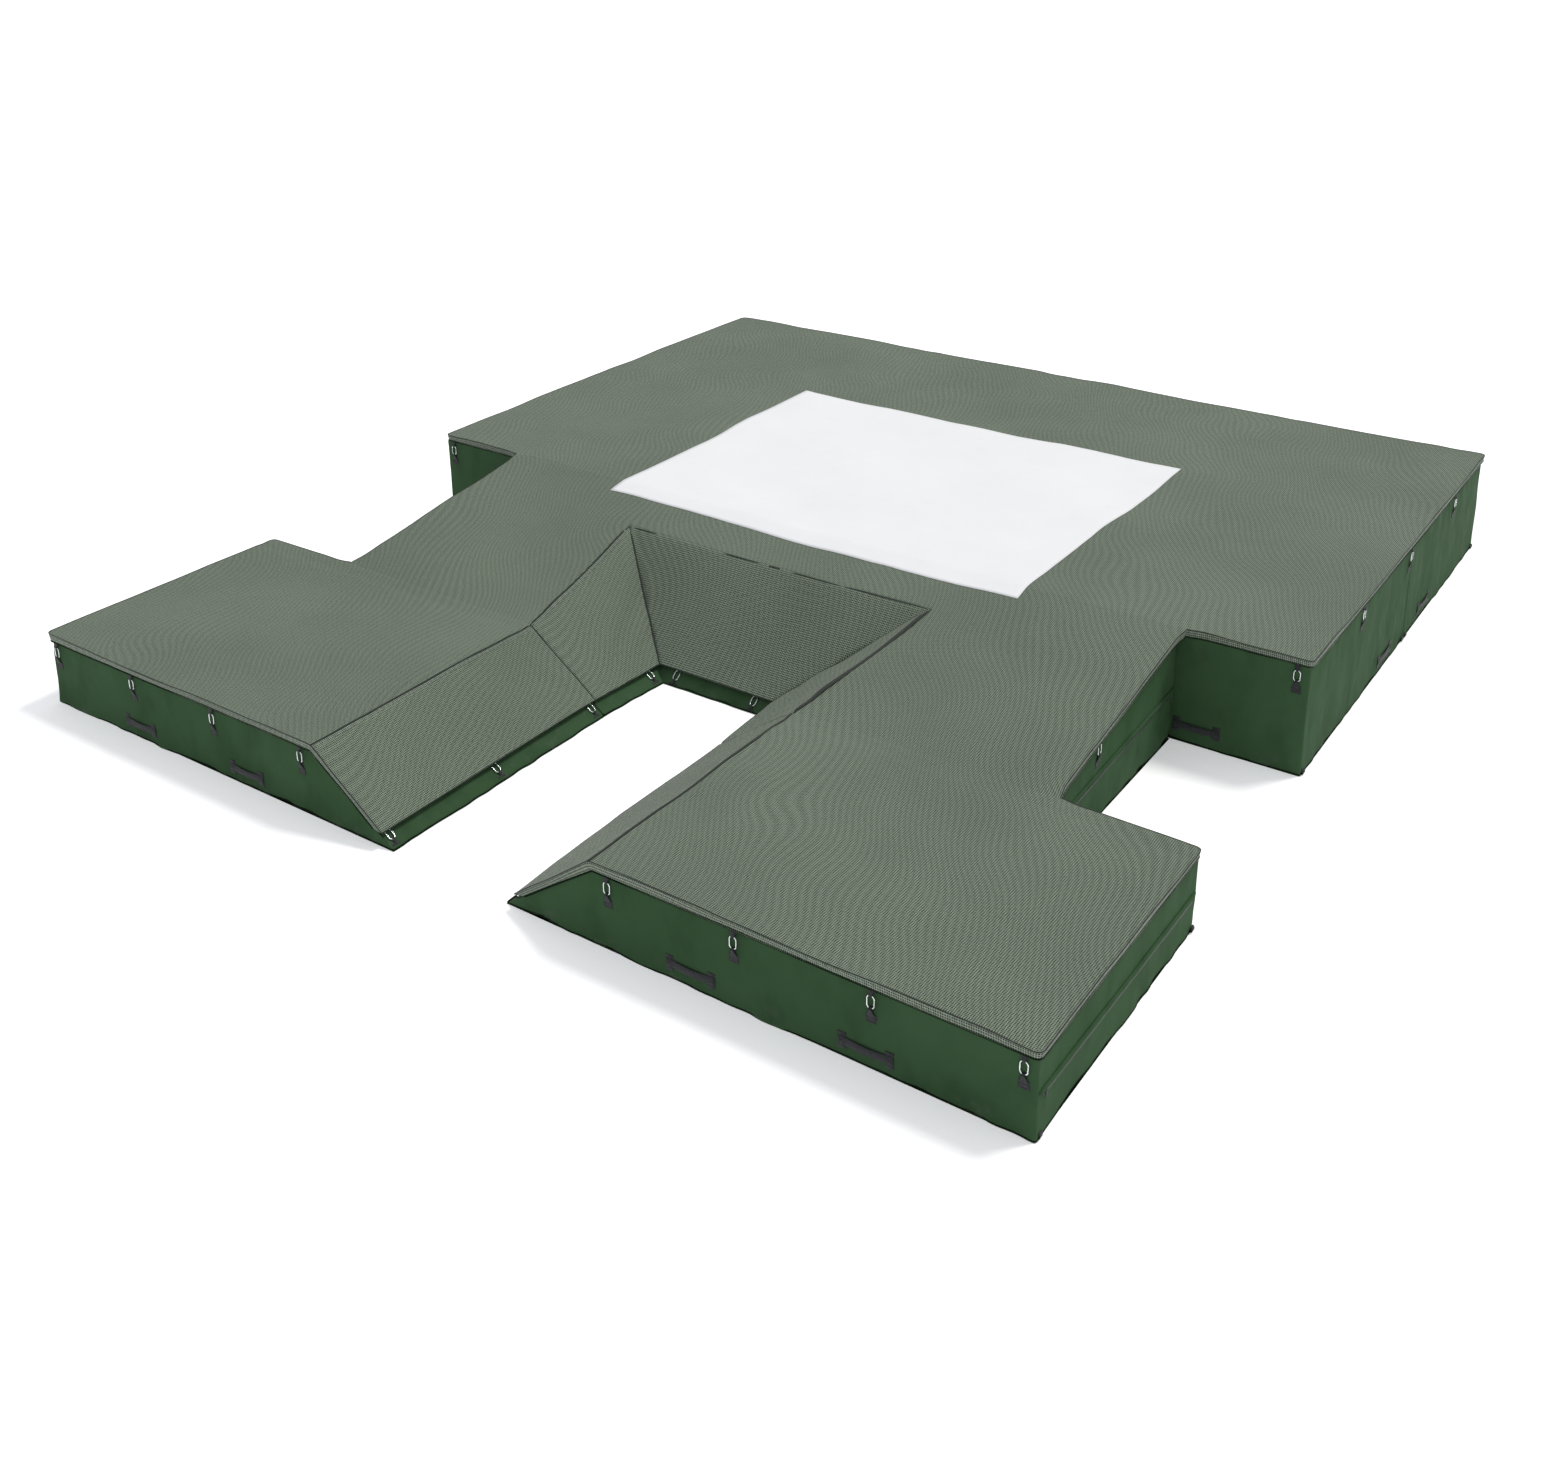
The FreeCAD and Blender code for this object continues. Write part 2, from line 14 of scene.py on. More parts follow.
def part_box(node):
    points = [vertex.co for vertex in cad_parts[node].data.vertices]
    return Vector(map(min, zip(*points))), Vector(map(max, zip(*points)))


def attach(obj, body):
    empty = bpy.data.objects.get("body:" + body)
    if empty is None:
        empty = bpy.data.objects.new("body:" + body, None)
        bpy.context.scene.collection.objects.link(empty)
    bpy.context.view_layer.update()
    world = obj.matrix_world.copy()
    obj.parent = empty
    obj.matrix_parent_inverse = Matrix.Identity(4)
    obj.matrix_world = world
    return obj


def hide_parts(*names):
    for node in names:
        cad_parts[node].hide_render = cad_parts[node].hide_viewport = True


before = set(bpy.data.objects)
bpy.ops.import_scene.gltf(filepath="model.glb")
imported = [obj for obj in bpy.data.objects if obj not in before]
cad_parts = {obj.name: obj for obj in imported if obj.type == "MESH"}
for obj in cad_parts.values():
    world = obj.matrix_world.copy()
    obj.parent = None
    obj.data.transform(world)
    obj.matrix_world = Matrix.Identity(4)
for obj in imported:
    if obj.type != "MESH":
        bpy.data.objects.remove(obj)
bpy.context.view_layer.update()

# Sizes, as in the CAD model

FRONT_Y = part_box("right_wing_cover")[0][1]
WING_HALF, WING_LEN = 3.709, 1.930
MID_HALF, MID_EDGE, MID_END = 2.820, 2.859, 3.780
BACK_HALF, UNIT_JOINT, PIT_LEN = 3.682, 6.080, 8.100
WING_TOP, BACK_TOP, PAD_THICK, PAD_OVER = 0.515, 0.813, 0.045, 0.012
HEM_RISE, CREST_Y, KEEL_X = 0.110, 3.260, 1.367
TOE_HALF, BEVEL_COT, BEVEL_SIN, SPLAY = 0.447, 1.3901, 0.5840, 0.0703
NOTCH_TOE, BACK_COT, BACK_SIN = 2.5145, 1.1184, 0.6666
RISE = (BACK_TOP - WING_TOP) / (MID_END - WING_LEN)
UNIT_GAP = 0.002
PANEL_HALF, PANEL_FRONT, PANEL_REAR, PANEL_WANDER = 1.765, 3.600, 6.430, 0.042

# Spacing of mesh lines: close beside every seam, then even
SEAM_LINES = (0.006, 0.016, 0.034)
PAD_PITCH, COVER_PITCH, WELT_PITCH = 0.036, 0.040, 0.025
EDGE_RADIUS = 0.011

# Places of the fittings, as in the CAD model: across from the middle, or back from the front
FRONT_CLIPS_X, REAR_CLIPS_X = (1.20, 2.02, 2.83, 3.64), (0.62, 1.86, 3.10)
SLOPE_CLIPS_Y, TOE_CLIPS_X = (0.050, 0.953, 1.876, 2.470), (-0.330, 0.330)
SLOPE_LAG, TOE_LAG = 0.010, 0.004
MIDDLE_CLIP_Y, SHOULDER_CLIP_X, SIDE_CLIPS_Y = 2.588, 3.600, (4.867, 6.010, 7.229)
SHOULDER_Y = MID_END + UNIT_GAP / 2
FRONT_HANDLES_X, REAR_HANDLES_X, SIDE_HANDLES_Y = (1.740, 2.800), (1.240, 2.480), (5.570, 6.585)
HANDLE_Z, SHOULDER_HANDLE_X, SHOULDER_HANDLE_Z = 0.097, 2.990, 0.124
WING_LOOPS_Y, BACK_LOOPS_Y = (0.035, 1.890), (3.820, 6.040, 6.120, 8.060)
# each zip's wall, and the first and last (y, z) of its middle line
ZIPS = ((WING_HALF, (0.060, 0.235), (1.870, 0.211)), (MID_HALF, (2.010, 0.262), (3.740, 0.342)))

FRONT, REAR = (0, -1, 0), (0, 1, 0)
UP = np.array((0.0, 0.0, 1.0))


# Small geometry tools


def unit(vectors):
    vectors = np.asarray(vectors, float)
    return vectors / np.maximum(np.linalg.norm(vectors, axis=-1, keepdims=True), 1e-12)


def mirrored(points, side=-1):
    """Right-hand points carried to a side."""
    return np.asarray(points, float) * (side, 1, 1)


def travelled(ring):
    """Distance gone round a closed ring at each of its points, and back at the first."""
    step = np.linalg.norm(np.roll(ring, -1, 0) - ring, axis=1)
    return np.concatenate(((0.0,), np.cumsum(step)))


def heading(ring):
    """Direction along a closed ring at each of its points."""
    return unit(np.roll(ring, -1, 0) - np.roll(ring, 1, 0))


def grid_quads(rows, columns, first=0):
    index = first + np.arange(rows * columns).reshape(rows, columns)
    quads = np.stack((index[:-1, :-1], index[:-1, 1:], index[1:, 1:], index[1:, :-1]), -1)
    return quads.reshape(-1, 4)


class Waves:
    """A smooth random field between -1 and 1, the same in every run."""

    SIZE = 24

    def __init__(self, seed):
        self.lattice = np.random.default_rng(seed).uniform(-1, 1, (self.SIZE,) * 3)

    def at(self, points, length):
        """Value at each point; length is the field's wavelength, one or one per axis."""
        cell = np.asarray(points, float) / np.asarray(length)
        low = np.floor(cell).astype(int)
        part = cell - low
        part = part * part * part * (part * (part * 6 - 15) + 10)
        total = np.zeros(len(cell))
        for corner in itertools.product((0, 1), repeat=3):
            weight = np.where(corner, part, 1 - part).prod(axis=1)
            total += weight * self.lattice[tuple(((low + corner) % self.SIZE).T)]
        return total


def segment_distance(points, start, end):
    start, run = np.asarray(start, float), np.subtract(end, start)
    share = np.clip((points - start) @ run / (run @ run), 0, 1)
    return np.linalg.norm(points - start - share[:, None] * run, axis=1)


def rail(start, end, pitch):
    """Fractions along an edge where mesh lines cross it, close together at both ends."""
    length = float(np.linalg.norm(np.subtract(end, start)))
    inset = SEAM_LINES[-1]
    count = max(2, round((length - 2 * inset) / pitch) + 1)
    near = (0.0, *SEAM_LINES[:-1])
    middle = np.linspace(inset, length - inset, count)
    return np.array([*near, *middle, *(length - x for x in reversed(near))]) / length


def bilinear(corners, across, along):
    """Grid of points inside four corners given counter-clockwise from outside."""
    a, b, c, d = (np.asarray(p, float) for p in corners)
    u, v = across[None, :, None], along[:, None, None]
    return (1 - u) * (1 - v) * a + u * (1 - v) * b + u * v * c + (1 - u) * v * d


class Skin:
    """A surface of conforming grids, merged where they meet."""

    def __init__(self):
        self.points, self.faces, self.maps, self.twins = [], [], [], []

    def grid(self, corners, across, along, under=None):
        """Add a grid. under gives the corners of a second surface with the same faces."""
        first = sum(len(p) for p in self.points)
        points = bilinear(corners, across, along)
        rows, columns = points.shape[:2]
        self.points.append(points.reshape(-1, 3))
        self.twins.append(bilinear(under or corners, across, along).reshape(-1, 3))
        quads = grid_quads(rows, columns, first)
        origin = np.asarray(corners[0], float)
        side = unit(np.subtract(corners[1], corners[0]))
        normal = unit(np.cross(side, np.subtract(corners[3], corners[0])))
        rise = np.cross(normal, side)
        if abs(normal[2]) > 0.6 and abs(side[2]) < 0.3:  # the tops share one weave
            origin, side, rise = np.zeros(3), np.array((1.0, 0, 0)), np.array((0, 1.0, 0))
        flat = points.reshape(-1, 3) - origin
        cloth = np.stack((flat @ side, flat @ rise), -1)
        self.faces.append(quads)
        self.maps.append(cloth[quads - first])

    def halves(self, corners, across, along, under=None):
        """Add a right-hand grid and its mirror image."""
        self.grid(corners, across, along, under)
        left, left_under = (layer and [mirrored(layer[k]) for k in (1, 0, 3, 2)]
                            for layer in (corners, under))
        self.grid(left, 1 - across[::-1], along, left_under)

    def merged(self):
        points, twins = np.concatenate(self.points), np.concatenate(self.twins)
        _, keep, where = np.unique(np.round(points, 5), axis=0, return_index=True,
                                   return_inverse=True)
        faces = where.reshape(-1)[np.concatenate(self.faces)]
        return points[keep], twins[keep], faces, np.concatenate(self.maps)


def vertex_normals(points, faces):
    corners = points[faces]
    cross = np.cross(corners[:, 2] - corners[:, 0], corners[:, 3] - corners[:, 1])
    total = np.zeros_like(points)
    for column in range(4):
        np.add.at(total, faces[:, column], cross)
    return unit(total)


def boundary_loop(faces):
    """The surface's open edge as a ring of vertices, in the faces' direction."""
    edges = np.concatenate([faces[:, (k, (k + 1) % 4)] for k in range(4)])
    known = {tuple(edge) for edge in edges.tolist()}
    after = {a: b for a, b in known if (b, a) not in known}
    start = min(after)
    ring, here = [start], after[start]
    while here != start:
        ring.append(here)
        here = after[here]
    return np.array(ring)


def placed(name, data):
    item = bpy.data.objects.new(name, data)
    bpy.context.scene.collection.objects.link(item)
    return item


def mesh_piece(name, points, faces, material, body, cloth):
    """Make a mesh object at the model's origin and ride it on its body.

    cloth gives each face corner's place on the cloth, in metres.
    """
    mesh = bpy.data.meshes.new(name)
    moved = np.asarray(points, float) + (0, FRONT_Y, 0)
    mesh.from_pydata(moved.tolist(), [], [list(face) for face in faces])
    layer = mesh.uv_layers.new(name="cloth")
    layer.data.foreach_set("uv", np.asarray(cloth, float).reshape(-1))
    mesh.polygons.foreach_set("use_smooth", [True] * len(mesh.polygons))
    mesh.materials.append(material)
    mesh.update()
    item = placed(name, mesh)
    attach(item, body)
    return item


class Bundle:
    """Several swept strips that make one piece."""

    def __init__(self):
        self.points, self.faces, self.cloth, self.count = [], [], [], 0

    def sweep(self, path, outward, profile, closed=False, scale=None):
        """Carry a closed profile of (side, out) points along a path."""
        path, profile = np.asarray(path, float), np.asarray(profile, float)
        outward = np.broadcast_to(np.asarray(outward, float), path.shape)
        tangent = heading(path) if closed else unit(np.gradient(path, axis=0))
        side = unit(np.cross(tangent, outward))
        out = np.cross(side, tangent)
        size = np.ones((len(path), 2)) if scale is None else np.asarray(scale, float)
        drawn = profile[None] * size[:, None]
        rings = path[:, None] + side[:, None] * drawn[..., :1] + out[:, None] * drawn[..., 1:]
        rows, width = rings.shape[:2]
        travel, girth = travelled(path), travelled(profile)
        for row in range(rows if closed else rows - 1):
            here, ahead = (self.count + r % rows * width for r in (row, row + 1))
            for k in range(width):
                after = (k + 1) % width
                self.faces.append((here + k, here + after, ahead + after, ahead + k))
                self.cloth += [(travel[row + i], girth[k + j])
                               for i, j in ((0, 0), (0, 1), (1, 1), (1, 0))]
        if not closed:
            first = list(range(self.count, self.count + width))
            last = [self.count + (rows - 1) * width + k for k in range(width)]
            self.faces += [tuple(reversed(first)), tuple(last)]
            self.cloth += [tuple(profile[k]) for k in reversed(range(width))]
            self.cloth += [tuple(profile[k]) for k in range(width)]
        self.points.append(rings.reshape(-1, 3))
        self.count += rows * width

    def piece(self, name, material, body, slot):
        return mesh_piece(name, np.concatenate(self.points), self.faces, material, body,
                          self.cloth)


def ring_profile(half_wide, half_tall, count=8):
    turn = np.linspace(0, 2 * math.pi, count, endpoint=False)
    return np.stack((half_wide * np.cos(turn), half_tall * np.sin(turn)), -1)


def strap_profile(wide, thick):
    """A flat strip with softened edges, lying on its path."""
    half, edge = wide / 2, thick * 0.35
    return [(-half, edge), (-half, thick - edge), (-half + edge, thick), (half - edge, thick),
            (half, thick - edge), (half, edge), (half - edge, 0), (-half + edge, 0)]


# Materials


class Graph:
    """A material's nodes, with short ways to add the common ones."""

    def __init__(self, name, **surface):
        self.material = bpy.data.materials.new(name)
        self.material.use_nodes = True
        self.tree = self.material.node_tree
        self.shader = self.tree.nodes["Principled BSDF"]
        for key, value in surface.items():
            self.shader.inputs[key.replace("_", " ")].default_value = value

    def node(self, kind, **inputs):
        """Add a node. Each input is named as its socket, or socket_N for the Nth one."""
        node = self.tree.nodes.new("ShaderNode" + kind)
        for key, value in inputs.items():
            number = key.removeprefix("socket_")
            self.feed(node.inputs[int(number) if number.isdigit() else key.replace("_", " ")],
                      value)
        return node

    def feed(self, socket, value):
        """Link a socket to another, or set it. A colour is given as red, green and blue."""
        if isinstance(value, bpy.types.NodeSocket):
            self.tree.links.new(value, socket)
        elif value is not None:
            socket.default_value = (*value, 1.0) if socket.type == "RGBA" else value

    def math(self, operation, a, b=None, c=None):
        node = self.node("Math", socket_0=a, socket_1=b, socket_2=c)
        node.operation = operation
        return node.outputs[0]

    def times(self, a, b):
        return self.math("MULTIPLY", a, b)

    def minus(self, a, b):
        return self.math("SUBTRACT", a, b)

    def scaled(self, value, scale, added):
        return self.math("MULTIPLY_ADD", value, scale, added)

    def mix(self, share, a, b):
        node = self.tree.nodes.new("ShaderNodeMix")
        node.data_type = "RGBA"
        for number, value in ((0, share), (6, a), (7, b)):
            self.feed(node.inputs[number], value)
        return node.outputs[2]

    def ramp(self, value, low, high):
        """0 below low, 1 above high, smooth between."""
        node = self.node("MapRange", Value=value, From_Min=low, From_Max=high)
        node.interpolation_type = "SMOOTHSTEP"
        return node.outputs[0]

    def cloth(self):
        """Place on the cloth in metres."""
        node = self.node("UVMap")
        node.uv_map = "cloth"
        return node.outputs[0]

    def place(self):
        return self.node("TexCoord").outputs["Object"]

    def stretched(self, vector, scale):
        return self.node("Mapping", Vector=vector, Scale=scale).outputs[0]

    def noise(self, vector, scale, detail=2.0, rough=0.5, output="Fac"):
        return self.node("TexNoise", Vector=vector, Scale=scale, Detail=detail,
                         Roughness=rough).outputs[output]

    def drifted(self, vector, scale, reach):
        """The place moved about by a broad noise, so that threads aren't ruler-straight."""
        field = self.noise(vector, scale, 1.0, output="Color")
        centred = self.node("VectorMath", socket_0=field, socket_1=(0.5, 0.5, 0.5))
        centred.operation = "SUBTRACT"
        moved = self.node("VectorMath", socket_0=centred.outputs[0],
                          socket_1=(reach, reach, 0), socket_2=vector)
        moved.operation = "MULTIPLY_ADD"
        return moved.outputs[0]

    def axes(self, vector):
        return self.node("SeparateXYZ", Vector=vector).outputs

    def threads(self, place, pitch):
        """Ridges along one direction, 0 to 1, a thread every pitch metres."""
        wave = self.math("SINE", self.times(place, 2 * math.pi / pitch))
        return self.scaled(wave, 0.5, 0.5)

    def bump(self, height, depth, before=None, strength=1.0):
        return self.node("Bump", Distance=depth, Strength=strength, Height=height,
                         Normal=before).outputs[0]

    def finish(self, colour=None, rough=None, normal=None):
        self.feed(self.shader.inputs["Base Color"], colour)
        self.feed(self.shader.inputs["Roughness"], rough)
        self.feed(self.shader.inputs["Normal"], normal)
        return self.material


def darker(colour, share):
    return tuple(share * v for v in colour)


def mesh_cloth(name, light, dark, pitch=0.0125):
    """Open woven mesh: two sets of threads, dark where the holes show.

    The mesh lies on a finer backing, and where the two slip in and out of step they show the
    wavy contour lines of moire.
    """
    g = Graph(name, Specular_IOR_Level=0.18, Sheen_Weight=0.08, Sheen_Roughness=0.5)
    cloth = g.cloth()
    across, along, _ = g.axes(g.drifted(cloth, 1.7, 0.020))
    warp, weft = g.threads(across, pitch), g.threads(along, pitch * 0.92)
    hole = g.ramp(g.times(g.minus(1.0, warp), g.minus(1.0, weft)), 0.06, 0.42)
    slipped, slipped_along, _ = g.axes(g.drifted(cloth, 0.75, 0.80))
    contour = g.threads(g.scaled(slipped_along, 0.45, slipped), 0.043)
    second = g.threads(g.scaled(slipped, -0.6, slipped_along), 0.031)
    beat = g.times(contour, g.scaled(second, 0.6, 0.4))
    broad, fleck = g.noise(cloth, 0.9, 3.0), g.noise(cloth, 55.0)
    thread = g.mix(g.ramp(broad, 0.32, 0.70), light, darker(light, 0.88))
    thread = g.mix(g.times(g.ramp(fleck, 0.45, 0.75), 0.22), thread, dark)
    thread = g.mix(g.times(beat, 0.30), thread, dark)
    height = g.minus(g.math("MAXIMUM", warp, weft), hole)
    return g.finish(g.mix(hole, thread, dark), g.scaled(hole, 0.15, 0.70),
                    g.bump(height, 0.0014, strength=0.6))


def vinyl(name, colour, shade, dust=(0.09, 0.11, 0.085)):
    """Coated fabric: satin, faint grain, soft waves, painted shade along its folds and scuffs near
    the floor.
    """
    g = Graph(name, Specular_IOR_Level=0.008)
    place = g.place()
    broad, patch = g.noise(place, 1.3, 3.0), g.noise(place, 9.0, 4.0, 0.6)
    fold = g.noise(g.stretched(place, (3.2, 3.2, 1.9)), 1.5, 3.0, 0.55)
    _, _, height = g.axes(place)
    scuff = g.times(g.ramp(patch, 0.52, 0.72), g.minus(1.0, g.ramp(height, 0.0, 0.16)))
    base = g.mix(g.ramp(broad, 0.35, 0.65), colour, shade)
    # painted shade: darker patches along the soft folds, standing in for the shade in their
    # creases
    base = g.mix(g.times(g.ramp(fold, 0.42, 0.74), 0.30), base, darker(shade, 0.45))
    base = g.mix(g.times(scuff, 0.35), base, dust)
    slack = g.noise(g.stretched(place, (1.6, 1.6, 0.9)), 2.2)
    crease = g.noise(g.stretched(place, (1.0, 1.0, 0.80)), 4.5)
    normal = None
    for field, depth, strength in ((slack, 0.030, 0.7), (crease, 0.008, 0.5),
                                   (patch, 0.0016, 0.5), (g.noise(place, 420.0), 0.00035, 0.35)):
        normal = g.bump(field, depth, normal, strength)
    return g.finish(base, g.scaled(scuff, 0.25, g.scaled(patch, 0.16, 0.42)), normal)


def webbing(name, colour, pale, mapped=True, pitch=0.0030):
    """Narrow ribbed strap."""
    g = Graph(name, Specular_IOR_Level=0.30, Sheen_Weight=0.10)
    place = g.cloth() if mapped else g.place()
    first, second, third = g.axes(place)
    ribs = g.threads(first if mapped else third, pitch)
    cross = g.threads(second, pitch * 1.6)
    wear = g.noise(place, 60.0, 3.0)
    colour = g.mix(g.times(g.ramp(wear, 0.45, 0.75), 0.6), colour, pale)
    return g.finish(colour, g.scaled(wear, 0.2, 0.55), g.bump(g.scaled(cross, 0.5, ribs), 0.0006))


def steel(name):
    """Polished plating, its tone a little uneven, with fine scratches."""
    g = Graph(name, Metallic=1.0)
    place = g.place()
    scratch = g.noise(g.stretched(place, (900.0, 900.0, 60.0)), 1.0)
    colour = g.mix(g.ramp(g.noise(place, 30.0, 3.0), 0.4, 0.7),
                   (0.80, 0.82, 0.84), (0.62, 0.64, 0.66))
    return g.finish(colour, g.scaled(scratch, 0.22, 0.08), g.bump(scratch, 0.0001, strength=0.4))


def panel_vinyl(name):
    """White coated sheet with a fine weave under the coating and a stitched border."""
    g = Graph(name, Specular_IOR_Level=0.35, Coat_Weight=0.06, Coat_Roughness=0.4)
    cloth = g.cloth()
    across, along, _ = g.axes(cloth)
    broad, smudge = g.noise(cloth, 1.1, 3.0), g.noise(cloth, 7.0, 4.0, 0.6)
    weave = g.times(g.threads(across, 0.004), g.threads(along, 0.004))
    # the stitches run 14 mm inside the sheet's edge
    inside = g.math("MINIMUM", g.minus(PANEL_HALF, g.math("ABSOLUTE", across)),
                    g.math("MINIMUM", g.minus(along, PANEL_FRONT), g.minus(PANEL_REAR, along)))
    row = g.minus(1.0, g.ramp(g.math("ABSOLUTE", g.minus(inside, 0.014)), 0.0008, 0.0020))
    stitch = g.times(row, g.ramp(g.threads(g.math("ADD", across, along), 0.009), 0.30, 0.45))
    colour = g.mix(g.ramp(broad, 0.3, 0.7), (0.800, 0.806, 0.818), (0.778, 0.784, 0.796))
    colour = g.mix(g.times(g.ramp(smudge, 0.58, 0.80), 0.22), colour, (0.66, 0.66, 0.65))
    colour = g.mix(g.times(stitch, 0.5), colour, (0.45, 0.46, 0.46))
    height = g.minus(g.times(weave, 0.25), stitch)
    return g.finish(colour, g.scaled(smudge, 0.15, 0.42), g.bump(height, 0.0006))


def zip_cloth(name):
    """Zip tape, with the teeth of its chain as fine ridges."""
    g = Graph(name, Specular_IOR_Level=0.4)
    place = g.place()
    _, along, height = g.axes(place)
    teeth, weave = g.threads(along, 0.0042), g.threads(height, 0.0016)
    wear = g.noise(place, 45.0, 3.0)
    colour = g.mix(g.ramp(wear, 0.4, 0.75), (0.020, 0.030, 0.021), (0.045, 0.058, 0.046))
    return g.finish(colour, g.scaled(wear, 0.2, 0.45), g.bump(g.scaled(weave, 0.3, teeth), 0.0008))


def floor_paint(name):
    g = Graph(name, Specular_IOR_Level=0.05, Roughness=0.9, Emission_Color=(1.0, 1.0, 1.0, 1.0),
              Emission_Strength=0.32)
    shade = g.noise(g.place(), 0.15)
    return g.finish(g.mix(shade, (0.90, 0.90, 0.91), (0.91, 0.91, 0.92)))


BLACK, WORN = (0.012, 0.013, 0.015), (0.045, 0.047, 0.052)
MESH = mesh_cloth("pad_mesh", (0.234, 0.284, 0.216), (0.014, 0.022, 0.012))
HEM = mesh_cloth("hem_mesh", (0.262, 0.310, 0.244), (0.016, 0.025, 0.014))
VINYL = vinyl("cover_vinyl", (0.042, 0.086, 0.041), (0.036, 0.077, 0.035))
PIPING = vinyl("dark_piping", (0.006, 0.014, 0.006), (0.004, 0.010, 0.004))
STRAP = webbing("black_webbing", BLACK, WORN)
STRAP_CAD = webbing("black_webbing_folded", BLACK, WORN, mapped=False)
THREAD_AND_GROOVE_SHADE = webbing("seam_thread_and_groove_shade", (0.012, 0.018, 0.011), (0.030, 0.040, 0.028))
SLIDER = webbing("slider_enamel", (0.015, 0.016, 0.017), (0.050, 0.052, 0.055),
                 mapped=False, pitch=0.0040)
STEEL = steel("plated_steel")
WHITE = panel_vinyl("white_panel_vinyl")
ZIP = zip_cloth("zip_tape")


# Planes of the notch


def notch_side(height, y, out=0.0):
    """Half-width of the notch at a height, on a surface lying out metres off the base."""
    return (TOE_HALF - out / BEVEL_SIN + height * BEVEL_COT
            - max(0.0, y - WING_LEN) * SPLAY)


def notch_rear(height, out=0.0):
    return NOTCH_TOE - out / BACK_SIN + height * BACK_COT


def roof_height(y):
    """Height of the middle unit's sloping top."""
    return WING_TOP - PAD_THICK + (y - WING_LEN) * RISE


def clip_sites():
    """Each snap clip's origin at the top of its face, the directions up and out, and its kind."""
    low, high = WING_TOP - PAD_THICK, BACK_TOP - PAD_THICK
    sites = []
    for side in (-1, 1):
        outer, up = (side, 0, 0), unit((side * BEVEL_COT, 0, 1))
        sites += [((x * side, 0, low), UP, FRONT, "flat") for x in FRONT_CLIPS_X]
        for y in SLOPE_CLIPS_Y:
            splay = SPLAY if y > WING_LEN else 0.0
            origin = np.array((side * notch_side(HEM_RISE, y), y, HEM_RISE)) - up * SLOPE_LAG
            sites.append((origin, up, unit((-side, -splay, BEVEL_COT)), "slope"))
        walls = [((MID_HALF * side, MIDDLE_CLIP_Y, roof_height(MIDDLE_CLIP_Y)), outer),
                 ((SHOULDER_CLIP_X * side, SHOULDER_Y, high), FRONT)]
        walls += [((BACK_HALF * side, y, high), outer) for y in SIDE_CLIPS_Y]
        walls += [((x * side, PIT_LEN, high), REAR) for x in REAR_CLIPS_X]
        sites += [(at, UP, out, "flat") for at, out in walls]
    up = unit((0, BACK_COT, 1))
    for x in TOE_CLIPS_X:
        origin = np.array((x, notch_rear(HEM_RISE), HEM_RISE)) - up * TOE_LAG
        sites.append((origin, up, unit((0, -1, BACK_COT)), "slope"))
    return [(*(np.array(v, float) for v in vectors), kind) for *vectors, kind in sites]


def handle_sites():
    """Centre and outward direction of each carry handle."""
    sites = []
    for side in (-1, 1):
        sites += [((x * side, 0, HANDLE_Z), FRONT) for x in FRONT_HANDLES_X]
        sites.append(((SHOULDER_HANDLE_X * side, SHOULDER_Y, SHOULDER_HANDLE_Z), FRONT))
        sites += [((BACK_HALF * side, y, HANDLE_Z), (side, 0, 0)) for y in SIDE_HANDLES_Y]
        sites += [((x * side, PIT_LEN, HANDLE_Z), REAR) for x in REAR_HANDLES_X]
    return [(np.array(at), np.array(out, float)) for at, out in sites]


# The pad's upper and lower surfaces


def pad_corners(out):
    """Corners of the folded pad's surface that lies out metres off the base, right half."""
    wing, back = WING_TOP - PAD_THICK + out, BACK_TOP - PAD_THICK + out
    front, rear = -PAD_OVER, PIT_LEN + PAD_OVER
    apex_z = (wing + RISE * (notch_rear(0, out) - WING_LEN)) / (1 - RISE * BACK_COT)
    apex_y, toe_y = notch_rear(apex_z, out), notch_rear(HEM_RISE, out)
    slope_y = CREST_Y if out else apex_y
    corners = {
        "toe": (notch_side(HEM_RISE, toe_y, out), toe_y, HEM_RISE),
        "apex": (notch_side(apex_z, apex_y, out), apex_y, apex_z),
        "line_apex": (MID_EDGE, slope_y, wing + RISE * (slope_y - WING_LEN)),
        "keel": (KEEL_X, MID_END, back), "line_keel": (MID_EDGE, MID_END, back),
        "shoulder": (BACK_HALF + PAD_OVER, MID_END, back),
        "keel_back": (KEEL_X, rear, back), "line_back": (MID_EDGE, rear, back),
        "back_corner": (BACK_HALF + PAD_OVER, rear, back),
    }
    for end, y in (("front", front), ("rear", WING_LEN)):
        corners[f"low_{end}"] = (notch_side(HEM_RISE, 0, out), y, HEM_RISE)
        corners[f"rim_{end}"] = (notch_side(wing, 0, out), y, wing)
        corners[f"line_{end}"] = (MID_EDGE, y, wing)
        corners[f"wing_{end}"] = (WING_HALF + PAD_OVER, y, wing)
    return corners


TOP, UNDER = pad_corners(PAD_THICK), pad_corners(0.0)

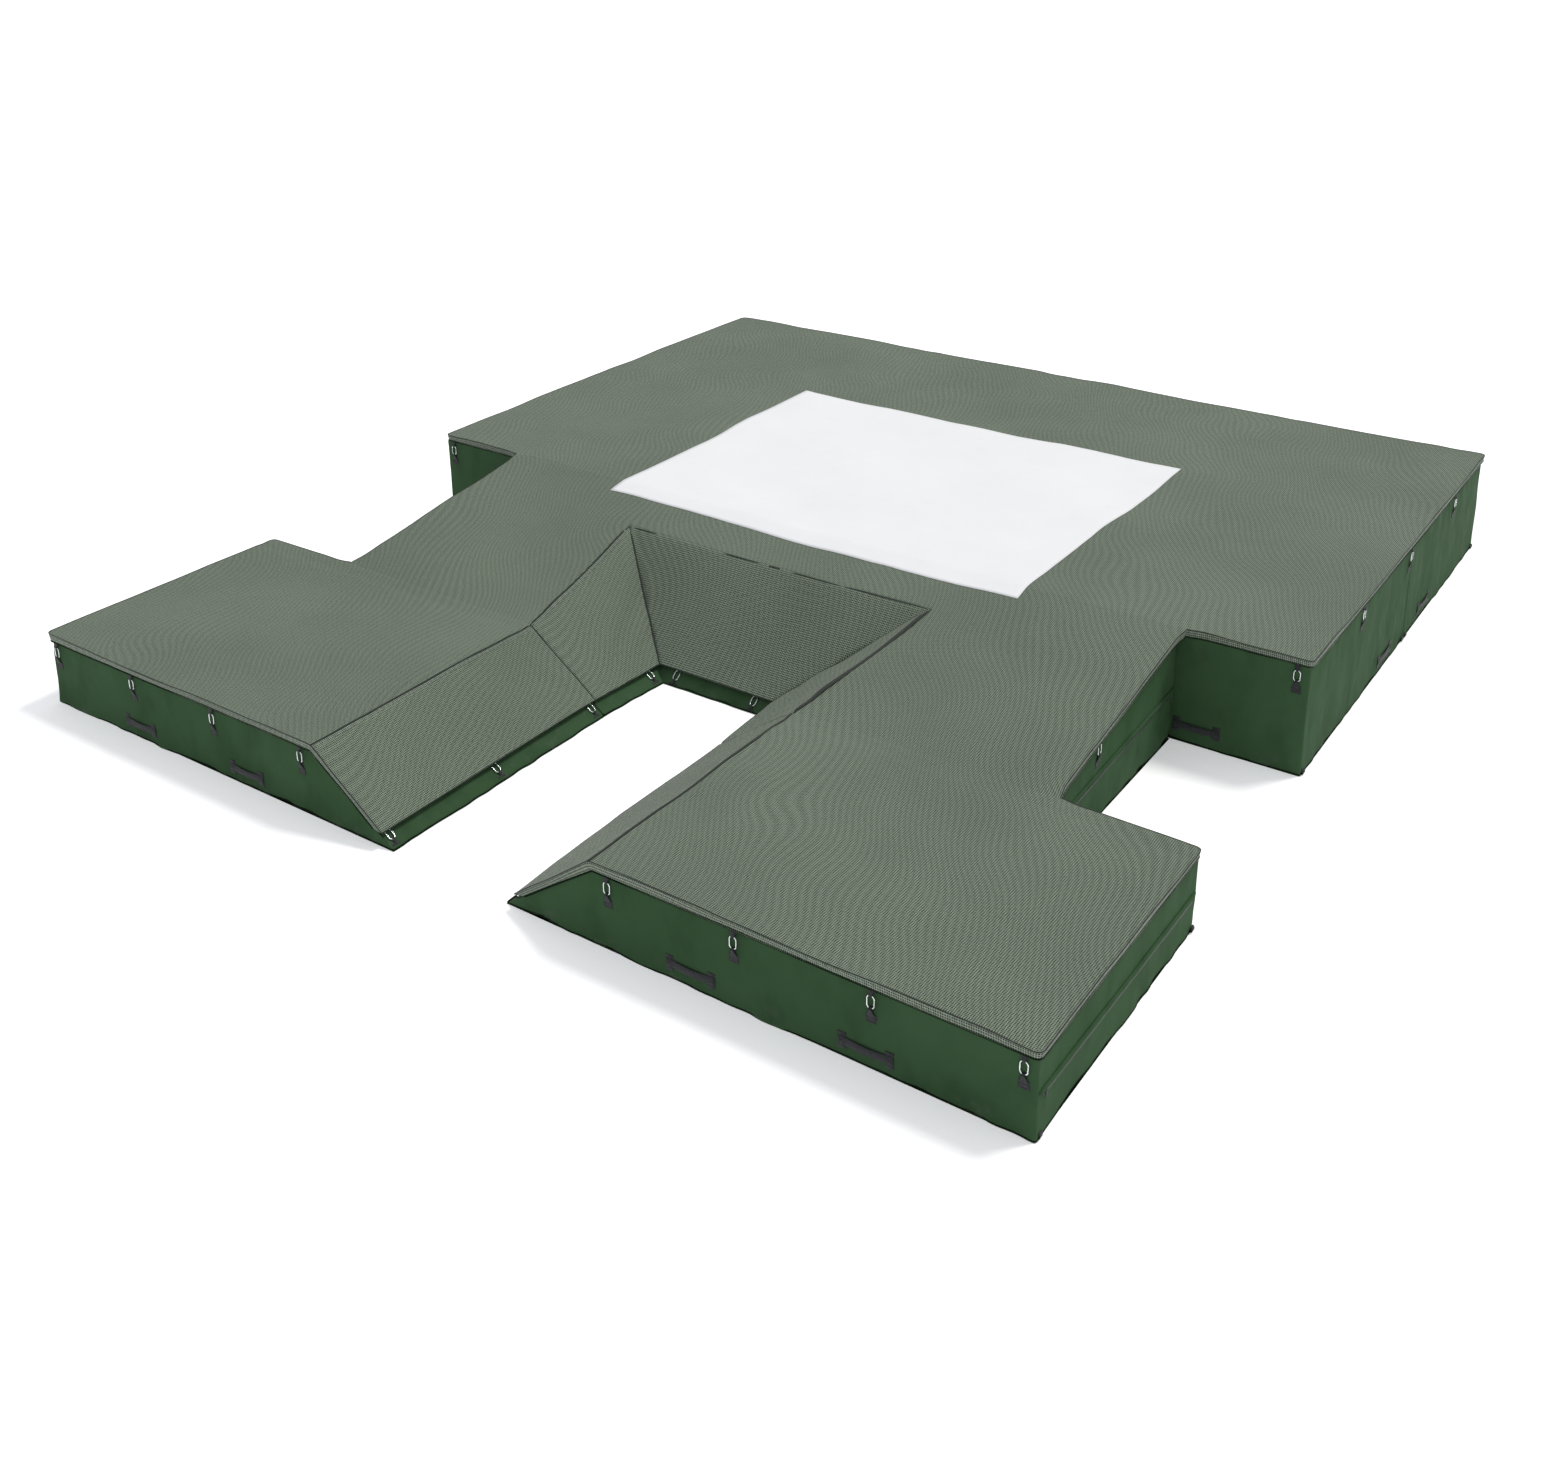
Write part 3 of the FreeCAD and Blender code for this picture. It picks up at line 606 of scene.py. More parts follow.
# Right-hand panels: corner names counter-clockwise from above, and the rails across and along
SIDE_PANELS = (
    (("low_front", "rim_front", "rim_rear", "low_rear"), "slope", "wing"),
    (("rim_front", "line_front", "line_rear", "rim_rear"), "middle", "wing"),
    (("line_front", "wing_front", "wing_rear", "line_rear"), "outer", "wing"),
    (("low_rear", "rim_rear", "apex", "toe"), "slope", "corner"),
    (("rim_rear", "line_rear", "line_apex", "apex"), "middle", "corner"),
    (("apex", "line_apex", "line_keel", "keel"), "middle", "crest"),
    (("keel", "line_keel", "line_back", "keel_back"), "middle", "landing"),
    (("line_keel", "shoulder", "back_corner", "line_back"), "outer", "landing"),
)
# Panels that cross the middle: near corner, far corner, rail along
CENTRE_PANELS = (("toe", "apex", "slope"), ("apex", "keel", "crest"),
                 ("keel", "keel_back", "landing"))
RAILS = {name: rail(TOP[start], TOP[end], PAD_PITCH) for name, start, end in (
    ("slope", "low_front", "rim_front"), ("middle", "rim_front", "line_front"),
    ("outer", "line_front", "wing_front"), ("wing", "rim_front", "rim_rear"),
    ("corner", "rim_rear", "apex"), ("crest", "apex", "keel"), ("landing", "keel", "keel_back"))}
RAILS["centre"] = rail(mirrored(TOP["keel"]), TOP["keel"], PAD_PITCH)


def pad_skin():
    skin = Skin()
    for names, across, along in SIDE_PANELS:
        upper, lower = ([layer[n] for n in names] for layer in (TOP, UNDER))
        skin.halves(upper, RAILS[across], RAILS[along], lower)
    for near, far, along in CENTRE_PANELS:
        upper, lower = ([mirrored(layer[near]), layer[near], layer[far], mirrored(layer[far])]
                        for layer in (TOP, UNDER))
        skin.grid(upper, RAILS["centre"], RAILS[along], lower)
    return skin.merged()


def seam_lines():
    """Fold seams of the pad as pairs of corners, both sides."""
    right = [("rim_front", "rim_rear"), ("rim_rear", "apex"), ("rim_rear", "low_rear"),
             ("apex", "toe")]
    lines = [(mirrored(TOP[a], side), mirrored(TOP[b], side)) for side in (1, -1)
             for a, b in right]
    return lines + [(mirrored(TOP["apex"]), np.array(TOP["apex"]))]


EDGE = Waves(41)
# The top's hollows and wrinkles: a field, its height and its wavelength
PAD_WAVES = ((Waves(11), 0.0150, 1.25), (Waves(23), 0.0070, 0.42), (Waves(37), 0.0022, 0.15))
DIP_DEPTH, DIP_WIDE, GROOVE_DEPTH, GROOVE_WIDE = 0.0060, 0.032, 0.0055, 0.011
PLEAT_HEIGHT, PLEAT_REACH = 0.0105, 1.6


def pad_lift(points):
    """How far the pad's mesh stands off its flat shape, square to it."""
    lift = sum(height * field.at(points, length) for field, height, length in PAD_WAVES)
    # a shallow dip across each wing, where its foam ends, and a groove along each seam
    dips = [((side * TOP["rim_front"][0], 1.845, WING_TOP), (side * 3.7, 1.815, WING_TOP),
             DIP_DEPTH, DIP_WIDE) for side in (-1, 1)]
    dips += [(*line, GROOVE_DEPTH, GROOVE_WIDE) for line in seam_lines()]
    for start, end, depth, wide in dips:
        lift -= depth * np.exp(-(segment_distance(points, start, end) / wide) ** 2)
    # pleats that fan out from the foot of each notch corner
    for side in (-1, 1):
        foot, rim, toe = (mirrored(TOP[n], side) for n in ("low_rear", "rim_rear", "toe"))
        ray, base = unit(points - foot), unit(rim - foot)
        turn = np.arccos(np.clip(ray @ base, -1, 1)) / math.acos(float(base @ unit(toe - foot)))
        reach = np.linalg.norm(points - foot, axis=1)
        normal = unit(np.cross(rim - foot, toe - foot))
        near = np.exp(-((points - foot) @ normal / 0.01) ** 2) * (turn < 1.05) * (turn > 0)
        pleat = np.sin(turn * 27 + 2.0 * np.sin(turn * 8)) * np.sin(math.pi * np.clip(turn, 0, 1))
        fade = np.clip(reach / 0.40, 0, 1) * (reach < PLEAT_REACH)
        lift += PLEAT_HEIGHT * near * pleat * fade
    return lift


PAD_CORNER, INNER_EASE, INNER_REACH = 0.037, 0.020, 0.085


def soften_corners(points):
    """The pad's outline with its outer corners rounded and its inner ones eased."""
    points = points.copy()
    for x, y, back in ((WING_HALF, -PAD_OVER, 1), (WING_HALF, WING_LEN, -1),
                       (BACK_HALF, MID_END, 1), (BACK_HALF, PIT_LEN + PAD_OVER, -1)):
        for side in (-1, 1):
            inward = np.array((-side, back))
            centre = np.array((side * (x + PAD_OVER), y)) + inward * PAD_CORNER
            off = (centre - points[:, :2]) * inward
            inside = (off > 0).all(axis=1)
            squared = off.max(axis=1) / np.maximum(np.hypot(*off.T), 1e-9)
            moved = centre - inward * off * squared[:, None]
            points[inside, :2] = moved[inside]
    for y, ahead in ((WING_LEN, 1), (MID_END, -1)):
        for side in (-1, 1):
            away = np.linalg.norm(points[:, :2] - (side * MID_EDGE, y), axis=1)
            points[:, :2] += np.outer(INNER_EASE * np.exp(-(away / INNER_REACH) ** 2),
                                      (side, ahead))
    return points


# The hem from top to bottom: share of its depth, and how far it stands out there
HEM_PROFILE = ((0.10, 0.0016), (0.35, 0.0008), (0.62, -0.0018), (0.90, -0.0050), (1.0, -0.0060))
HEM_HANG, HEM_TURN_IN, HEM_TURN_UP, HEM_WEAVE = 0.004, 0.007, 0.002, 0.010


def build_pad():
    """The pad's mesh cover with its hem, and the pipings along the hem's two edges."""
    sharp, sharp_under, faces, cloth = pad_skin()
    lift = pad_lift(sharp)
    flat, under = soften_corners(sharp), soften_corners(sharp_under)
    normals = vertex_normals(flat, faces)
    ring = boundary_loop(faces)
    top_ring, low_ring = flat[ring], under[ring]
    drop = unit(low_ring - top_ring)
    outward = unit(np.cross(heading(top_ring), normals[ring]))
    outward = unit(outward - drop * np.sum(outward * drop, axis=1, keepdims=True))
    sway = outward * (0.0030 * EDGE.at(top_ring, 0.55)
                      + 0.0012 * EDGE.at(top_ring + 7, 0.17))[:, None]
    raised = flat + normals * lift[:, None]
    raised[ring] += sway

    # the hem hangs a little below the underside where it is upright, then turns in and back up
    depth = np.linalg.norm(low_ring - top_ring, axis=1)[:, None]
    depth = depth + HEM_HANG * np.abs(drop[:, 2:3]) ** 4
    rings = [raised[ring] * (1 - share) + (top_ring + sway) * share + drop * (depth * share)
             + outward * bulge for share, bulge in HEM_PROFILE]
    rings.append(rings[-1] - outward * HEM_TURN_IN - drop * HEM_TURN_UP)
    count, rim = len(flat), len(ring)
    points = np.concatenate([raised, under, *rings])
    walls, wall_cloth = [], []
    travel = travelled(top_ring)
    stack = [ring, *(2 * count + k * rim + np.arange(rim) for k in range(len(rings))),
             ring + count]
    for level, (above, below) in enumerate(zip(stack[:-1], stack[1:])):
        high, low = (-HEM_WEAVE * n for n in (level, level + 1))
        for k in range(rim):
            after = (k + 1) % rim
            walls.append((above[after], above[k], below[k], below[after]))
            wall_cloth += [(travel[k + 1], high), (travel[k], high), (travel[k], low),
                           (travel[k + 1], low)]
    every = [*faces.tolist(), *(faces[:, ::-1] + count).tolist(), *walls]
    maps = np.concatenate([cloth.reshape(-1, 2), cloth[:, ::-1].reshape(-1, 2),
                           np.array(wall_cloth)])
    pad = mesh_piece("pad_cover", points, every, MESH, "top_pad", maps)
    pad.data.materials.append(HEM)
    for polygon in pad.data.polygons[2 * len(faces):]:
        polygon.material_index = 1
    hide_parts("top_pad_cover", *[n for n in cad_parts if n.startswith("pad_foam")])

    for name, path, stand, profile, material in (
            ("pad_edge_piping", raised[ring], 0.0010, ring_profile(0.0034, 0.0034, 6), THREAD_AND_GROOVE_SHADE),
            ("pad_hem_binding", rings[-2], 0.0005, ring_profile(0.0058, 0.0040), PIPING)):
        edge = Bundle()
        edge.sweep(path + outward * stand, outward, profile, True)
        edge.piece(name, material, "top_pad", "mesh")


def on_pad(flat, normal, out):
    """Points of the pad's flat upper surface, lifted as its mesh is and out metres more."""
    return flat + normal * (pad_lift(flat) + out)[:, None]


# Stretches of the crest's seam that show dark, as shares of its length from the left; their dark
# cords are partly the seam and partly painted shade along the fold
CREST_SEAM_AND_SHADE_STRETCHES = ((0.02, 0.10), (0.34, 0.46), (0.49, 0.53), (0.57, 0.72), (0.74, 0.99))
SEAM_STAND = 0.0015


def fold_seam_cords_and_groove_shade():
    """Sewn seams along the folds as low dark cords that taper at their ends, and bands beside two;
    the cords are wider than a seam, most on the right, to paint the shadow in each seam's groove.
    """
    seams, bands = Bundle(), Bundle()

    def cord(start, end, count, normal, half_wide, half_tall, shrink, power):
        path = start + np.linspace(0, 1, count)[:, None] * (end - start)
        lifted = on_pad(path, normal, SEAM_STAND)
        taper = 1 - shrink * np.abs(np.linspace(-1, 1, count)) ** power
        seams.sweep(lifted, normal, ring_profile(half_wide, half_tall),
                    scale=np.stack((taper, taper), -1))
        return lifted

    # each right-hand seam's outward direction, and its cord's half-size on the right and left; the
    # wider sizes paint the shadow in the seam's groove
    slope, fold = unit((-1, 0, BEVEL_COT)), unit((-0.32, -0.05, 1.0))
    thin, flat = (0.0085, 0.0038), (0.0050, 0.0030)
    kinds = ((fold, (0.0120, 0.0055), thin), (fold, (0.0230, 0.0095), thin), (slope, flat, flat),
             (unit((-1, -1, 1.6)), thin, thin))
    *lines, crest = seam_lines()
    for number, (start, end) in enumerate(lines):
        side, kind = (1, number) if number < 4 else (-1, number - 4)
        normal = mirrored(kinds[kind][0], side)
        half_wide, half_tall = kinds[kind][1 if side > 0 else 2]
        count = max(8, round(np.linalg.norm(end - start) / 0.03))
        # a dark cord on the seam: partly the sewn seam, partly painted shadow of its groove
        lifted = cord(start, end, count, normal, half_wide, half_tall, 0.5, 8)
        if kind < 2:
            towards_notch, out = unit((-side * BEVEL_COT, 0, -1)), mirrored(slope, side)
            flap = lifted + towards_notch * (half_wide + 0.014) + out * 0.0035
            flap[:, 2] += 0.0012 * EDGE.at(flap, 0.09)
            bands.sweep(flap, out, strap_profile(0.026, 0.0035))
    start, run = crest[0], crest[1] - crest[0]
    # dark cords along the crest: the seam, and painted shade where the fold turns
    for first, last in CREST_SEAM_AND_SHADE_STRETCHES:
        cord(start + first * run, start + last * run, 14, unit((0, -0.35, 1.0)),
             0.0060, 0.0030, 0.7, 4)
    bands.piece("pad_fold_bands", HEM, "top_pad", "mesh")
    seams.piece("pad_fold_seam_cords_and_groove_shade", THREAD_AND_GROOVE_SHADE, "top_pad", "mesh")


def landing_panel():
    """The white sheet, lying on the pad and following its waves."""
    across, along, wander = np.linspace(-1, 1, 100), np.linspace(0, 1, 84), Waves(53)
    u, v = (g.reshape(-1) for g in np.meshgrid(across, along))
    x, y = u * PANEL_HALF, PANEL_FRONT + v * (PANEL_REAR - PANEL_FRONT)
    place = np.stack((x, y, np.zeros_like(x)), -1)
    # the outline wanders; the middle of the sheet stays put
    x = x + PANEL_WANDER * wander.at(place, 0.80) * np.abs(u) ** 3
    y = y + PANEL_WANDER * wander.at(place + 3, 0.80) * np.abs(2 * v - 1) ** 3
    flat = np.stack((x, y, BACK_TOP - np.maximum(MID_END - y, 0) * RISE), -1)
    lean = np.clip((MID_END - y) / 0.05 + 0.5, 0, 1) * RISE
    normal = unit(np.stack((np.zeros_like(x), -lean, np.ones_like(x)), -1))
    points = np.concatenate([on_pad(flat, normal, out) for out in (0.0030, 0.0014)])
    quads = grid_quads(len(along), len(across))
    ring, offset = boundary_loop(quads), len(flat)
    after = np.roll(ring, -1)
    walls = np.stack((after, ring, ring + offset, after + offset), -1)
    every = np.concatenate([quads, quads[:, ::-1] + offset, walls])
    cloth = place[every % offset, :2]
    panel = mesh_piece("white_landing_panel", points, every.tolist(), WHITE, "top_pad",
                       cloth)
    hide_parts("landing_panel")


# Base units


def rounded(points, planes, radius):
    """Round the edges where planes (normal, distance) meet."""
    inner, fixes = points.copy(), [np.zeros_like(points) for _ in planes]
    for _ in range(30):
        for number, (normal, distance) in enumerate(planes):
            trial = inner + fixes[number]
            over = np.maximum(trial @ normal - (distance - radius), 0)[:, None]
            inner = trial - over * normal
            fixes[number] = trial - inner
    away = points - inner
    length = np.linalg.norm(away, axis=1, keepdims=True)
    return np.where(length > 1e-9, inner + away / np.maximum(length, 1e-9) * radius, points)


SLACK, TUCK, PUCKER = Waves(61), Waves(67), Waves(71)
CALM_NEAR, CALM_FADE = 0.03, 0.10


def fitting_calm(points):
    """0 where a fitting is sewn to the cover and 1 well away from it."""
    lines = []
    for at, rise, _, kind in clip_sites():
        low, high = (0.125, 0.200) if kind == "flat" else (0.0, 0.150)
        lines.append((at - rise * high, at - rise * low))
    for at, out in handle_sites():
        along = np.cross(UP, out) * 0.14
        lines.append((at - along, at + along))
    lines += [((side * face, *first), (side * face, *last)) for side in (-1, 1)
              for face, first, last in ZIPS]
    away = np.minimum.reduce([segment_distance(points, *line) for line in lines])
    share = np.clip((away - CALM_NEAR) / CALM_FADE, 0, 1)
    return share * share * (3 - 2 * share)


def slackness(points, top):
    """How far a cover stands off its flat faces: soft hollows and folds, calm at the fittings."""
    long_waves = SLACK.at(points, (0.50, 0.50, 0.90))
    lean = points @ np.array(((1, 0, 0.6), (0, 1, 0.6), (0, 0, 1.0))).T
    diagonal = TUCK.at(lean, (0.24, 0.24, 0.50))
    small = PUCKER.at(points, (0.10, 0.10, 0.26))
    hems = np.exp(-((top - points[:, 2]) / 0.11) ** 2) + np.exp(-(points[:, 2] / 0.05) ** 2)
    amount = 0.0065 * long_waves + 0.0060 * diagonal + 0.0075 * hems * small - 0.0042
    # held in under the pad's hem, so that it doesn't push past it
    amount = np.minimum(amount, 0.0010 + 0.25 * np.abs(top - points[:, 2]))
    return -0.0006 + (amount + 0.0006) * fitting_calm(points)


def cover_piece(name, skin, planes, nodes):
    """Make a unit's cover, its edges rounded where planes meet and its upright faces slack."""
    points, _, faces, cloth = skin.merged()
    points = rounded(points, planes, EDGE_RADIUS)
    normals = vertex_normals(points, faces)
    stand = slackness(points, float(points[:, 2].max())) * (1 - np.abs(normals[:, 2]))
    points = points + normals * stand[:, None]
    points[:, 2] = np.maximum(points[:, 2], 0)
    piece = mesh_piece(name, points, faces.tolist(), VINYL, "base", cloth.reshape(-1, 2))
    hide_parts(*nodes)


def box_skin(section, front, rear):
    """A prism along y. section has four (x, z) corners, counter-clockwise from the front."""
    near = [np.array((x, front, z)) for x, z in section]
    far = [np.array((x, rear, z)) for x, z in section]
    bottom_top, left_right = (rail(*near[k:k + 2], COVER_PITCH) for k in (0, 1))
    depth = rail(near[0], far[0], COVER_PITCH)
    skin, planes = Skin(), []  # the sloping and bottom faces keep their edges sharp
    for (a, b, c, d), across, along in (
            (near, bottom_top, left_right),
            ((far[1], far[0], far[3], far[2]), 1 - bottom_top[::-1], left_right),
            ((near[1], far[1], far[2], near[2]), depth, left_right),
            ((far[0], near[0], near[3], far[3]), 1 - depth[::-1], left_right),
            ((near[3], near[2], far[2], far[3]), bottom_top, depth),
            ((far[0], far[1], near[1], near[0]), bottom_top, 1 - depth[::-1])):
        skin.grid((a, b, c, d), across, along)
        normal = unit(np.cross(c - a, d - b))
        if normal @ (a - sum(near + far) / 8) < 0:
            normal = -normal
        if normal[2] > -0.5 and not 0.1 < abs(normal[2]) < 0.95:
            planes.append((normal, float(normal @ a)))
    return skin, planes


def wing_cover(side, word):
    top = WING_TOP - PAD_THICK
    section = [(notch_side(0, 0), 0), (WING_HALF, 0), (WING_HALF, top), (notch_side(top, 0), top)]
    if side < 0:
        section = [(-x, z) for x, z in (section[1], section[0], section[3], section[2])]
    cover_piece(f"{word}_wing_vinyl", *box_skin(section, 0.0, WING_LEN - UNIT_GAP / 2),
                (f"{word}_wing_cover", f"{word}_wing_core"))


def landing_cover(word, front, rear):
    top = BACK_TOP - PAD_THICK
    section = [(-BACK_HALF, 0), (BACK_HALF, 0), (BACK_HALF, top), (-BACK_HALF, top)]
    cover_piece(f"{word}_landing_vinyl", *box_skin(section, front, rear),
                (f"{word}_landing_cover", f"{word}_landing_core"))


def middle_cover():
    """The middle unit, half by half, with the faces that cross the middle."""
    front, rear, toe_y = WING_LEN + UNIT_GAP / 2, MID_END - UNIT_GAP / 2, notch_rear(0)
    apex = np.array(UNDER["apex"])
    rim = np.array((notch_side(roof_height(front), front), front, roof_height(front)))
    foot = np.array((notch_side(0, front), front, 0))
    toe = np.array((notch_side(0, toe_y), toe_y, 0))
    wall = [np.array((MID_HALF, y, 0)) for y in (front, apex[1], rear)]
    eave = [np.array((MID_HALF, y, roof_height(y))) for y in (front, apex[1], rear)]
    keel_low, keel = (np.array((KEEL_X, rear, z)) for z in (0, roof_height(rear)))
    across, rise, first, second, centre = (
        rail(*ends, COVER_PITCH) for ends in (
            (rim, eave[0]), (foot, rim), (rim, apex), (apex, keel), (mirrored(keel), keel)))
    right = [((foot, wall[0], eave[0], rim), across, rise),
             ((wall[0], wall[1], eave[1], eave[0]), first, rise),
             ((wall[1], wall[2], eave[2], eave[1]), second, rise),
             ((wall[2], keel_low, keel, eave[2]), 1 - across[::-1], rise),
             ((rim, eave[0], eave[1], apex), across, first),
             ((apex, eave[1], eave[2], keel), across, second),
             ((foot, rim, apex, toe), rise, first),
             ((toe, wall[1], wall[0], foot), across, 1 - first[::-1]),
             ((keel_low, wall[2], wall[1], toe), across, 1 - second[::-1])]
    skin = Skin()
    for corners, u, v in right:
        skin.halves(corners, u, v)
    for a, b, v in ((toe, apex, rise), (apex, keel, second)):
        skin.grid((mirrored(a), a, b, mirrored(b)), centre, v)
    skin.grid((keel_low, mirrored(keel_low), mirrored(keel), keel), centre, rise)
    skin.grid((mirrored(keel_low), keel_low, toe, mirrored(toe)), centre, 1 - second[::-1])
    tilt = unit((0, -RISE, 1.0))
    planes = [(np.array(normal), distance) for normal, distance in (
        ((1.0, 0, 0), MID_HALF), ((-1.0, 0, 0), MID_HALF), ((0, -1.0, 0), -front),
        ((0, 1.0, 0), rear), (tilt, float(tilt @ eave[0])))]
    cover_piece("middle_vinyl", skin, planes, ("middle_cover", "middle_core"))


def round_path(corners, radius, pitch):
    """A closed outline with rounded corners, its points about a pitch apart."""
    corners, path = np.asarray(corners, float), []
    count = len(corners)
    for k in range(count):
        here, before, after = corners[k], corners[k - 1], corners[(k + 1) % count]
        enter, leave = unit(before - here), unit(after - here)
        start, end = here + enter * radius, here + leave * radius
        for share in np.linspace(0, 1, 5):
            path.append((1 - share) ** 2 * start + 2 * share * (1 - share) * here
                        + share ** 2 * end)
        following = after - leave * radius
        steps = max(2, int(np.linalg.norm(following - end) / pitch))
        path += [end + (following - end) * s for s in np.linspace(0, 1, steps + 1)[1:-1]]
    return np.array(path)


def floor_piping():
    """The dark welt round the foot of each unit, a little uneven."""
    gap, toe_y, foot = UNIT_GAP / 2, notch_rear(0), notch_side(0, 0)
    front, rear, end, toe = WING_LEN - gap, WING_LEN + gap, MID_END - gap, notch_side(0, toe_y)
    wing = [(foot, 0), (WING_HALF, 0), (WING_HALF, front), (foot, front)]
    outlines = [wing, [(-x, y) for x, y in reversed(wing)],
                [(foot, rear), (MID_HALF, rear), (MID_HALF, end), (-MID_HALF, end),
                 (-MID_HALF, rear), (-foot, rear), (-toe, toe_y), (toe, toe_y)]]
    for near, far in ((MID_END + gap, UNIT_JOINT - gap), (UNIT_JOINT + gap, PIT_LEN)):
        outlines.append([(-BACK_HALF, near), (BACK_HALF, near), (BACK_HALF, far),
                         (-BACK_HALF, far)])
    welts = Bundle()
    for line in outlines:
        path = round_path([(x, y, 0.0065) for x, y in line], 0.012, WELT_PITCH)
        outward = np.cross(heading(path), UP)
        stand = slackness(path, BACK_TOP) + 0.0010 * EDGE.at(path, 0.21) - 0.0012
        path = path + outward * np.minimum(stand, 0.004)[:, None]
        path[:, 2] += 0.0012 * (EDGE.at(path + 5, 0.16) + 1)
        welts.sweep(path, outward, ring_profile(0.0048, 0.0052), True)
    welts.piece("unit_floor_welts", PIPING, "base", "vinyl")


def storm_flaps():
    """The vinyl flap over each zip, a wavy ridge along the wall above it."""
    flaps = Bundle()
    profile = [(-0.0140, 0.0), (-0.0136, 0.0062), (-0.0098, 0.0105), (-0.0020, 0.0118),
               (0.0045, 0.0090), (0.0062, 0.0060), (0.0105, 0.0078), (0.0140, 0.0052),
               (0.0150, 0.0), (0.0, -0.0050)]
    reaches = ((0.016, WING_LEN - 0.018), (WING_LEN + 0.020, MID_END - 0.010))
    for side in (-1, 1):
        for (face, first, last), (start, end) in zip(ZIPS, reaches):
            y = np.linspace(start, end, 60)
            z = first[1] + (last[1] - first[1]) * (y - first[0]) / (last[0] - first[0]) + 0.0260
            path = np.stack((np.full_like(y, side * face), y, z), -1)
            path[:, 2] += 0.0022 * (EDGE.at(path + 9, 0.24) + 0.6)
            swell = 1 + 0.14 * EDGE.at(path + 2, 0.11)
            ends = np.clip(np.minimum(y - start, end - y) / 0.02, 0.35, 1)
            scale = np.stack((ends, swell * ends), -1)
            # the profile's first point is the upper one on both sides
            flaps.sweep(path[::-side], (side, 0, 0), profile, scale=scale[::-side])
    flaps.piece("zip_storm_flaps", VINYL, "base", "vinyl")


# Fittings


def sew(bundle, centre, along, rise, out, half_wide, lines):
    """Stitch straight lines, given by their ends' (along, rise) from the centre."""
    for ends in lines:
        line = np.linspace(*ends, 3)
        bundle.sweep(centre + along * line[:, :1] + rise * line[:, 1:], out,
                     ring_profile(half_wide, 0.0006, 6))


def carry_handles():
    """Bowed straps, and under each end a taller patch with a stitched cross between two rows."""
    span, wide, thick, end_wide, end_tall = 0.315, 0.048, 0.003, 0.046, 0.096
    half, rise = end_wide / 2 - 0.005, 0.018
    low_left, high_left, low_right, high_right = ((x, z) for x in (-half, half)
                                                  for z in (-rise, rise))
    rows = ((low_left, high_right), (low_right, high_left), (low_left, high_left),
            (high_right, low_right))
    share = np.linspace(-1, 1, 25)
    bend = np.sin(np.clip(1 - np.abs(share) / 0.74, 0, 1) * math.pi / 2)
    narrow = np.stack((1 - 0.08 * bend, np.ones_like(bend)), -1)
    reach = np.linspace(-1, 1, 7)
    flare = np.stack((1 + 0.10 * np.abs(reach) ** 3, np.ones_like(reach)), -1)
    straps, patches, stitches = Bundle(), Bundle(), Bundle()
    for centre, out in handle_sites():
        along = np.cross(UP, out)
        path = (centre + along * (share * span / 2)[:, None]
                + out * (0.0022 + 0.0065 * bend ** 1.2)[:, None])
        straps.sweep(path - UP * (0.0025 * bend)[:, None], out, strap_profile(wide, thick),
                     scale=narrow)
        for end in (-1, 1):
            middle = centre + along * end * (span - end_wide) / 2
            patches.sweep(middle + UP * reach[:, None] / 2 * end_tall, out,
                          strap_profile(end_wide, 0.0021), scale=flare)
            sew(stitches, middle + out * 0.0056, along, UP, out, 0.0008, rows)
    strap = straps.piece("carry_handle_straps", STRAP, "base", "webbing")
    patch = patches.piece("carry_handle_patches", STRAP, "base", "webbing")
    stitches.piece("carry_handle_stitches", THREAD_AND_GROOVE_SHADE, "base", "webbing")
    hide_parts("handle_straps")
    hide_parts("handle_patches")


# Each tab from top to bottom: rise from the clip's origin, stand off the face and spread
HEM_TAB = ((0.0, 0.0050, 2.3), (-0.012, 0.0085, 1.9), (-0.026, 0.0120, 1.25),
           (-0.038, 0.0165, 1.0))
PATCH_TAB = ((-0.1130, 0.0172, 1.0), (-0.1240, 0.0132, 1.15), (-0.1370, 0.0084, 1.6),
             (-0.1500, 0.0040, 2.3), (-0.1600, 0.0026, 2.6))


def clip_tabs():
    """Webbing that tapers from the hem to each clip, and flares from the clip to its patch."""
    left, right, high, low = -0.026, 0.026, -0.166, -0.194
    border = (((left, high), (right, high)), ((left, low), (right, low)),
              ((left, high), (left, low)), ((right, high), (right, low)))
    upper, lower, borders = Bundle(), Bundle(), Bundle()
    for at, rise, out, kind in clip_sites():
        for tabs, shape in ((upper, HEM_TAB), (lower, PATCH_TAB)):
            if tabs is lower and kind == "slope":
                continue
            path = [at + rise * fall + out * stand for fall, stand, _ in shape]
            tabs.sweep(path, out, strap_profile(0.018, 0.0018),
                       scale=[(spread, 1) for *_, spread in shape])
        if kind == "flat":
            sew(borders, at + out * 0.0019, np.cross(out, rise), rise, out, 0.0009, border)
    upper.piece("clip_hem_tabs", STRAP, "top_pad", "webbing")
    lower.piece("clip_patch_tabs", STRAP, "base", "webbing")
    borders.piece("clip_patch_stitches", THREAD_AND_GROOVE_SHADE, "base", "webbing")


